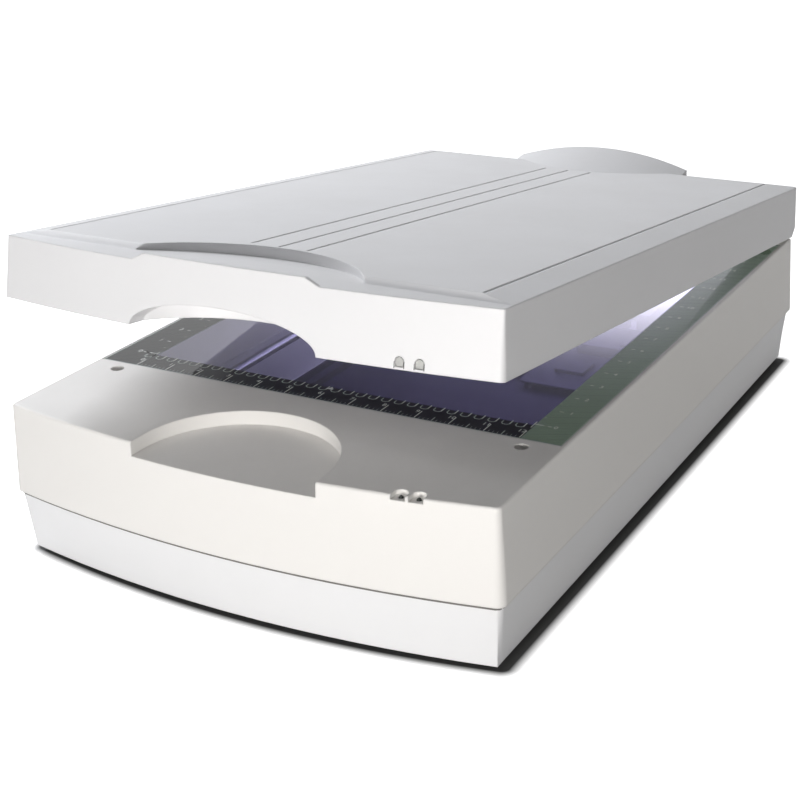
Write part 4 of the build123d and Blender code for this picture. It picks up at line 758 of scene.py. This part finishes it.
# ---- Mesh helpers
class FlatPrint:
    """Thin printed shapes lying on a level surface, gathered in one mesh."""

    def __init__(self, name: str, level: float, thickness: float = 0.00004) -> None:
        """Start an empty print.

        Args:
            name: Name of the piece.
            level: Height of the printed surface.
            thickness: Thickness of the ink.
        """
        self.name = name
        self.level = level
        self.thickness = thickness
        self.mesh = bmesh.new()

    def shape(self, outline: Sequence[tuple[float, float]]) -> None:
        """Print one closed shape.

        Args:
            outline: Its corners, in order, seen from above.
        """
        lower = [self.mesh.verts.new((x, y, self.level)) for x, y in outline]
        face = self.mesh.faces.new(lower)
        raised = bmesh.ops.extrude_face_region(self.mesh, geom=[face])
        top = [v for v in raised["geom"] if isinstance(v, bmesh.types.BMVert)]
        bmesh.ops.translate(self.mesh, verts=top, vec=(0.0, 0.0, self.thickness))

    def line(self, start: tuple[float, float], end: tuple[float, float], width: float) -> None:
        """Print a straight line.

        Args:
            start: One end.
            end: Other end.
            width: Its width.
        """
        along = Vector(end) - Vector(start)
        side = Vector((-along.y, along.x)).normalized() * (width / 2)
        a, b = Vector(start), Vector(end)
        self.shape([tuple(a - side), tuple(b - side), tuple(b + side), tuple(a + side)])

    def path(self, points: Sequence[tuple[float, float]], width: float) -> None:
        """Print a line through several points.

        Args:
            points: The points.
            width: The line's width.
        """
        for start, end in zip(points, points[1:]):
            self.line(start, end, width)

    def numeral(self, text: str, x: float, y: float, height: float, turn: float = 0.0) -> None:
        """Print a number with its middle at a point.

        Args:
            text: The digits.
            x: Middle across.
            y: Middle along.
            height: Height of a digit.
            turn: Rotation seen from above.
        """
        curve = bpy.data.curves.new("digits", "FONT")
        curve.body = text
        curve.size = height / 0.7
        curve.align_x = "CENTER"
        curve.align_y = "CENTER"
        curve.extrude = self.thickness / 2
        curve.resolution_u = 3
        holder = bpy.data.objects.new("digits", curve)
        flat = bpy.data.meshes.new_from_object(holder)
        flat.transform(Matrix.Translation((x, y, self.level + self.thickness / 2))
                       @ Matrix.Rotation(turn, 4, "Z"))
        self.mesh.from_mesh(flat)
        bpy.data.objects.remove(holder)
        bpy.data.curves.remove(curve)
        bpy.data.meshes.remove(flat)

    def finish(self, look: Finish, body: str) -> None:
        """Make the print one piece.

        Args:
            look: Its finish.
            body: The body that it rides on.
        """
        bmesh.ops.recalc_face_normals(self.mesh, faces=self.mesh.faces)
        made_piece(self.name, self.mesh, look, body)


def made_piece(name: str, mesh: bmesh.types.BMesh, look: Finish, body: str) -> None:
    """Turn a built mesh into a piece that rides on a body.

    Args:
        name: Name of the piece.
        mesh: Its mesh, which is freed.
        look: Its finish.
        body: The body that it rides on.
    """
    data = bpy.data.meshes.new(name)
    mesh.to_mesh(data)
    mesh.free()
    data.materials.append(look.material())
    made = bpy.data.objects.new(name, data)
    bpy.context.scene.collection.objects.link(made)
    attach(made, body)
    LOG.info("%s on %s", name, body)


def dress_node(node: str, look: Finish) -> None:
    """Give a CAD node its finish.

    Args:
        node: Name of the node.
        look: Its finish.
    """
    made = frame["nodes"][node]
    made.data.materials.clear()
    made.data.materials.append(look.material())


# ---- Sub-assemblies
@dataclass
class Housings:
    """The two mouldings of the base, with its feet and screws."""

    seam_drop: float = 0.0006
    seam_height: float = 0.0021
    seam_relief: float = 0.00015
    seam_steps: int = 720
    ray_reach: float = 1.0

    def build(self) -> None:
        """Lay a thin dark grey strip all round the base between the two housings: painted shade for the
        shadowed gap of the seam.
        """
        _, lower_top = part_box("lower_housing")
        upper_low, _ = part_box("upper_housing")
        level = min(lower_top.z, upper_low.z) - self.seam_drop
        case = frame["nodes"]["lower_housing"]
        mesh = bmesh.new()
        rows: list[list[bmesh.types.BMVert]] = [[], [], [], []]
        for step in range(self.seam_steps):
            turn = math.tau * step / self.seam_steps
            outward = Vector((math.cos(turn), math.sin(turn), 0.0))
            start = outward * self.ray_reach + Vector((0.0, 0.0, level))
            face = surface_point(case, start, -outward)
            for row, (lift, drop) in enumerate(((0.0, 0.0), (self.seam_relief, 0.0),
                                                (self.seam_relief, self.seam_height),
                                                (0.0, self.seam_height))):
                rows[row].append(mesh.verts.new(face + outward * lift - Vector((0.0, 0.0, drop))))
        for k in range(self.seam_steps):
            after = (k + 1) % self.seam_steps
            for one, two in ((0, 1), (1, 2), (2, 3), (3, 0)):
                mesh.faces.new((rows[one][k], rows[one][after], rows[two][after], rows[two][k]))
        bmesh.ops.recalc_face_normals(mesh, faces=mesh.faces)
        # The strip is painted shade, not a real gasket.
        made_piece("painted_seam_shade", mesh, Palette.seam_shade, "base")

    def dress(self) -> None:
        """Give the housings, feet and screws their finishes."""
        for node in ("upper_housing", "lower_housing", "rubber_feet", "case_screws"):
            dress_node(node, Palette.by_slot[node_slot(node)])
        LOG.info("housings dressed")


@dataclass
class GlassBed:
    """The glass, its dark mask, the printed rules and the line of its seal."""

    border_front: float = 0.0251
    scan_width: float = 0.3048
    scan_length: float = 0.4318
    inch: float = 0.0254
    centimetre: float = 0.01
    ink_gap: float = 0.00001
    seal_inset: float = 0.0001
    tick_width: float = 0.0007
    fine_width: float = 0.0003
    inch_tick: float = 0.0115
    half_tick: float = 0.006
    fine_tick: float = 0.003
    digit: float = 0.0042
    cup_width: float = 0.0058
    cup_depth: float = 0.0072
    cup_gap: float = 0.001
    cup_short_arm: float = 0.002
    cup_corners: tuple[float, float] = (0.0016, 0.0014)
    edge_gap: float = 0.0006
    digit_left: float = 0.0027
    digit_drop: float = 0.0012
    pointer_half: float = 0.0026
    pointer_base: float = 0.0052
    pointer_gap: float = 0.0008
    zero_reach: float = 0.012
    corner_before: float = 0.006
    corner_behind: float = 0.004
    side_tick: tuple[float, float] = (0.0055, 0.0085)
    side_half_tick: tuple[float, float] = (0.001, 0.003)
    seal_width: float = 0.0009

    def build(self) -> None:
        """Print the rules and lay the seal."""
        low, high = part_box("glass_bed")
        self.level = high.z + self.ink_gap
        self.left, self.right, self.front, self.rear = low.x, high.x, low.y, high.y
        self.zero_y = self.front + self.border_front
        self.front_rule()
        self.side_rule(1)
        self.side_rule(-1)
        self.seal_line()

    def front_rule(self) -> None:
        """Inches along the front edge of the glass and centimetres along the scan area."""
        strong = FlatPrint("front_rule_marks", self.level)
        faint = FlatPrint("front_rule_fine_marks", self.level)
        half_width = self.scan_width / 2
        start = self.front + self.seal_width + self.edge_gap
        for step in range(int(self.scan_width / self.inch * 8) + 1):
            x = -half_width + step * self.inch / 8
            if step % 8 == 0:
                strong.line((x, start), (x, start + self.inch_tick), self.tick_width)
                strong.numeral(str(step // 8), x - self.digit_left,
                               start + self.inch_tick - self.digit_drop, self.digit)
            elif step % 4 == 0:
                faint.line((x, start), (x, start + self.half_tick), self.tick_width)
            else:
                faint.line((x, start), (x, start + self.fine_tick), self.fine_width)
        for step in range(int(self.scan_width * 100) + 1):
            self.cup(faint, strong, -half_width + step * self.centimetre)
        foot = self.zero_y - self.pointer_base
        strong.shape([(-self.pointer_half, foot), (self.pointer_half, foot),
                      (0.0, self.zero_y - self.pointer_gap)])
        for side in (-1, 1):
            x = side * half_width
            strong.line((x, self.zero_y), (x + side * self.zero_reach, self.zero_y), self.tick_width)
            strong.line((x, self.zero_y - self.corner_before), (x, self.zero_y + self.corner_behind),
                        self.tick_width)
        strong.finish(Palette.rule_ink, "base")
        faint.finish(Palette.faint_ink, "base")

    def cup(self, faint: FlatPrint, strong: FlatPrint, x: float) -> None:
        """Print one centimetre mark, a small cup open to the rear.

        Args:
            faint: Print of the fine lines.
            strong: Print of the strong lines.
            x: Right side of the mark.
        """
        rear = self.zero_y - self.cup_gap
        front = rear - self.cup_depth
        left = x - self.cup_width
        wide, tight = self.cup_corners
        faint.path([(left, rear - self.cup_short_arm), (left, front + wide), (left + wide, front),
                    (x - tight, front), (x, front + tight)], self.tick_width)
        strong.line((x, front + tight), (x, rear), self.tick_width)

    def side_rule(self, side: int) -> None:
        """Inches along one side of the scan area.

        Args:
            side: 1 for the right side and -1 for the left.
        """
        marks = FlatPrint("right_rule_marks" if side > 0 else "left_rule_marks", self.level)
        inner = side * self.scan_width / 2
        middle = side * (self.scan_width / 2 + self.right) / 2
        for step in range(int(self.scan_length / self.inch * 2) + 1):
            y = self.zero_y + step * self.inch / 2
            if step % 2 == 0:
                marks.numeral(str(step // 2), middle, y, self.digit)
                near, far = self.side_tick
                marks.line((middle - side * near, y), (middle - side * far, y), self.tick_width)
            else:
                near, far = self.side_half_tick
                marks.line((inner + side * near, y), (inner + side * far, y), self.fine_width)
        marks.finish(Palette.rule_ink, "base")

    def seal_line(self) -> None:
        """A pale line of sealant round the glass."""
        seal = FlatPrint("glass_seal", self.level)
        inset = self.seal_width / 2 + self.seal_inset
        corners = [(self.left + inset, self.front + inset), (self.right - inset, self.front + inset),
                   (self.right - inset, self.rear - inset), (self.left + inset, self.rear - inset)]
        seal.path([*corners, corners[0]], self.seal_width)
        seal.finish(Palette.seal, "base")

    def dress(self) -> None:
        """Give the glass, the mask and the calibration strip their finishes."""
        for node in ("glass_bed", "ruler_mask", "calibration_strip"):
            dress_node(node, Palette.by_slot[node_slot(node)])


@dataclass
class Lid:
    """The lid's mouldings, diffuser, windows and inner drive."""

    guide_half: float = 0.00245
    rim_gap: float = 0.0004
    rim_width: float = 0.0004
    rim_relief: float = 0.0001
    rim_leg: float = 0.0036
    rim_steps: int = 12
    ray_reach: float = 1.0

    def build(self) -> None:
        """Line both windows of the lid's front with a dark rim."""
        low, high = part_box("light_guides")
        cover = frame["nodes"]["lid_top_cover"]
        mesh = bmesh.new()
        for middle in (low.x + self.guide_half, high.x - self.guide_half):
            self.rim(mesh, cover, middle, low.z)
        bmesh.ops.recalc_face_normals(mesh, faces=mesh.faces)
        made_piece("window_rims", mesh, Palette.rim, "lid")

    def rim(self, mesh: bmesh.types.BMesh, cover: Object, middle: float, sill: float) -> None:
        """Add one round-topped rim that follows the front of the lid.

        Args:
            mesh: Mesh that it is added to.
            cover: Object whose front it lies on.
            middle: Middle of the window across.
            sill: Height of the window's lower edge.
        """
        rows: list[list[bmesh.types.BMVert]] = []
        inner = self.guide_half + self.rim_gap
        for reach in (inner, inner + self.rim_width):
            outline = [(reach, 0.0)]
            for step in range(self.rim_steps + 1):
                turn = math.pi * step / self.rim_steps
                outline.append((reach * math.cos(turn), self.rim_leg + reach * math.sin(turn)))
            outline.append((-reach, 0.0))
            hits = [surface_point(cover, Vector((middle + x, -self.ray_reach, sill + z)),
                                  Vector((0.0, 1.0, 0.0))) for x, z in outline]
            for lift in (0.0, self.rim_relief):
                rows.append([mesh.verts.new(hit - Vector((0.0, lift, 0.0))) for hit in hits])
        inner_back, inner_front, outer_back, outer_front = rows
        for one, two in ((inner_front, outer_front), (inner_back, inner_front),
                         (outer_front, outer_back), (outer_back, inner_back)):
            for k in range(len(one) - 1):
                mesh.faces.new((one[k], one[k + 1], two[k + 1], two[k]))
        for end in (0, -1):
            mesh.faces.new((inner_back[end], inner_front[end], outer_front[end], outer_back[end]))

    def dress(self) -> None:
        """Give every piece that swings with the lid its finish."""
        bodies = frame["record"]["behaviour"]["bodies"]
        for body in ("lid", "lid_drive_wheel", "lid_idler_wheel", "lamp_carriage"):
            for node in bodies[body]:
                dress_node(node, Palette.by_slot[node_slot(node)])
        LOG.info("lid dressed")


@dataclass
class InnerWorks:
    """Everything inside the base and on its rear wall."""

    shade_coated: tuple[str, ...] = ("chassis_plate", "support_rail", "rod_holders")

    def dress(self) -> None:
        """Give every remaining node its finish."""
        for node, made in frame["nodes"].items():
            names = {slot.material.name for slot in made.material_slots if slot.material}
            # The listed steel parts take the near-black violet coat, which is painted shade.
            look = Palette.inside_shade_coat if node in self.shade_coated else Palette.by_slot[node_slot(node)]
            if look.name not in names:
                dress_node(node, look)
        LOG.info("inner works dressed")


def surface_point(made: Object, start: Vector, along: Vector) -> Vector:
    """Find where a ray first meets an object.

    Args:
        made: The object.
        start: Where the ray starts, in the shared frame.
        along: Its direction.

    Returns:
        The point in the shared frame.
    """
    inverse = made.matrix_world.inverted()
    own_start = inverse @ start
    own_along = (inverse @ (start + along) - own_start).normalized()
    hit, place, _, _ = made.ray_cast(own_start, own_along)
    if not hit:
        raise ValueError(f"nothing of {made.name} ahead of {tuple(start)}")
    return made.matrix_world @ place


def node_slot(node: str) -> str:
    """Give the material slot of a CAD node.

    Args:
        node: Name of the node.

    Returns:
        The slot's name in the record.
    """
    for part in frame["record"]["subparts"]:
        if part["node"] == node:
            return part["material_slot"]
    raise KeyError(node)


# ---- Studio
@dataclass(frozen=True)
class Softbox:
    """One soft rectangular light."""

    name: str
    place: Point
    target: Point
    size: tuple[float, float]
    watts: float
    colour: Rgb

    def hang(self) -> None:
        """Add the light to the scene, unseen by the camera."""
        data = bpy.data.lights.new(self.name, "AREA")
        data.shape = "RECTANGLE"
        data.size, data.size_y = self.size
        data.energy = self.watts
        data.color = self.colour
        made = bpy.data.objects.new(self.name, data)
        bpy.context.scene.collection.objects.link(made)
        made.location = self.place
        made.visible_camera = False
        toward = Vector(self.target) - Vector(self.place)
        made.rotation_euler = toward.to_track_quat("-Z", "Y").to_euler()


@dataclass
class Studio:
    """Floor, sky, lights and camera."""

    eye: Point = (0.54311, -1.02217, 0.52262)
    azimuth: float = 0.5226
    elevation: float = 0.3946
    roll: float = -0.034
    lens_mm: float = 70.88
    sensor_mm: float = 36.0
    floor_half: float = 30.0
    floor_glow: float = 0.95
    floor_tone: Rgb = (0.82, 0.82, 0.82)
    painted_shadow_tone: Rgb = (0.1, 0.1, 0.1)
    floor_roughness: float = 0.9
    floor_shine: float = 0.1
    bow: float = 0.0194
    base_inset: float = 0.0047
    front_thinner: float = 0.006
    shade_from: float = 0.004
    shade_to: float = 0.012
    sky_light: float = 0.12
    sky_seen: float = 0.85
    sky_mirrored: float = 0.9
    lamps: tuple[Softbox, ...] = (
        Softbox("front_softbox", (0.42, -1.6, 0.23), (0.04, 0.0, 0.14), (0.8, 0.24), 15.0, WARM_LIGHT),
        Softbox("crown_softbox", (-0.6, -1.0, 1.3), (0.0, -0.2, 0.22), (0.5, 0.5), 2.4, COOL_LIGHT),
        Softbox("left_softbox", (-0.95, 0.2, 0.9), (0.0, 0.0, 0.15), (0.6, 0.6), 10.5, COOL_LIGHT),
        Softbox("overhead_softbox", (-0.3, 0.9, 2.3), (0.0, 0.05, 0.1), (1.4, 1.4), 7.0, COOL_LIGHT),
        Softbox("side_fill", (1.0, 0.5, 0.03), (0.19, 0.25, 0.03), (0.7, 0.05), 1.1, WARM_LIGHT),
    )

    def build(self) -> None:
        """Set up the floor, the sky, the lights and the camera."""
        self.floor()
        self.sky()
        for lamp in self.lamps:
            lamp.hang()
        self.camera()
        bpy.context.scene.view_settings.view_transform = "Standard"

    def floor(self) -> None:
        """Lay a pale floor with a painted contact shadow next to the scanner, on top of its real one.
        """
        mesh = bmesh.new()
        bmesh.ops.create_grid(mesh, x_segments=4, y_segments=4, size=self.floor_half)
        data = bpy.data.meshes.new("studio_floor")
        mesh.to_mesh(data)
        mesh.free()
        made = bpy.data.objects.new("studio_floor", data)
        bpy.context.scene.collection.objects.link(made)
        material = bpy.data.materials.new("pale_floor")
        material.use_nodes = True
        w = Wiring(material.node_tree)
        surface = material.node_tree.nodes["Principled BSDF"]
        away = self.away_from_base(w)
        seen = w.math("MULTIPLY", away, w.node("ShaderNodeLightPath").outputs["Is Camera Ray"])
        # Painted contact shadow: near the scanner the floor darkens to painted_shadow_tone and stops
        # glowing.
        w.fill(surface, {"Base Color": w.mix(away, self.painted_shadow_tone, self.floor_tone),
                         "Roughness": self.floor_roughness, "Specular IOR Level": self.floor_shine,
                         "Emission Color": (1.0, 1.0, 1.0),
                         "Emission Strength": w.math("MULTIPLY", seen, self.floor_glow)})
        data.materials.append(material)

    def away_from_base(self, w: Wiring) -> NodeSocket:
        """Mask of the floor that is 0 under the scanner and rises to 1 a little way outside it: the
        painted contact shadow.

        Args:
            w: Wiring of the floor's material.

        Returns:
            The mask.
        """
        axes = w.axes(w.place())
        low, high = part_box("lower_housing")
        half = high.x - self.base_inset
        out_x = w.math("SUBTRACT", w.math("ABSOLUTE", axes["X"]), half)
        curve = w.math("POWER", w.math("DIVIDE", w.math("ABSOLUTE", axes["X"]), half), 2.0)
        front = w.math("ADD", w.math("MULTIPLY", curve, self.bow), low.y + self.base_inset)
        before = w.math("SUBTRACT", w.math("ADD", front, self.front_thinner), axes["Y"])
        behind = w.math("SUBTRACT", axes["Y"], high.y - self.base_inset)
        out_y = w.math("MAXIMUM", before, behind)
        side = w.math("POWER", w.math("MAXIMUM", out_x, 0.0), 2.0)
        end = w.math("POWER", w.math("MAXIMUM", out_y, 0.0), 2.0)
        distance = w.math("SQRT", w.math("ADD", side, end))
        return w.spread(distance, 0.0, 1.0, self.shade_from, self.shade_to)

    def sky(self) -> None:
        """Even pale surroundings, brighter where they are seen or mirrored than where they light."""
        world = bpy.data.worlds.new("studio_sky")
        bpy.context.scene.world = world
        world.use_nodes = True
        w = Wiring(world.node_tree)
        ground = world.node_tree.nodes["Background"]
        path = w.node("ShaderNodeLightPath")
        ground.inputs["Color"].default_value = (0.985, 0.99, 1.0, 1.0)
        seen = w.math("MULTIPLY", path.outputs["Is Camera Ray"], self.sky_seen)
        mirrored = w.math("MULTIPLY", path.outputs["Is Glossy Ray"], self.sky_mirrored)
        w.link(w.math("ADD", w.math("ADD", seen, mirrored), self.sky_light), ground.inputs["Strength"])

    def camera(self) -> None:
        """Stand the camera at the chosen angle."""
        a, e, r = self.azimuth, self.elevation, self.roll
        back = Vector((math.sin(a) * math.cos(e), -math.cos(a) * math.cos(e), math.sin(e)))
        level = Vector((math.cos(a), math.sin(a), 0.0))
        upward = back.cross(level)
        right = level * math.cos(r) + upward * math.sin(r)
        up = upward * math.cos(r) - level * math.sin(r)
        data = bpy.data.cameras.new("studio_camera")
        data.lens = self.lens_mm
        data.sensor_width = self.sensor_mm
        data.clip_start = 0.01
        made = bpy.data.objects.new("studio_camera", data)
        bpy.context.scene.collection.objects.link(made)
        turned = Matrix((right, up, back)).transposed().to_4x4()
        made.matrix_world = Matrix.Translation(self.eye) @ turned
        bpy.context.scene.camera = made


def main() -> None:
    """Build and dress every sub-assembly, then set up the studio."""
    logging.basicConfig(level=logging.INFO, format="%(message)s")
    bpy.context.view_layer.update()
    Studio().build()
    bed = GlassBed()
    bed.build()
    bed.dress()
    housings = Housings()
    housings.build()
    housings.dress()
    lid = Lid()
    lid.build()
    lid.dress()
    InnerWorks().dress()
    bpy.context.view_layer.update()


if __name__ == "__main__":
    main()
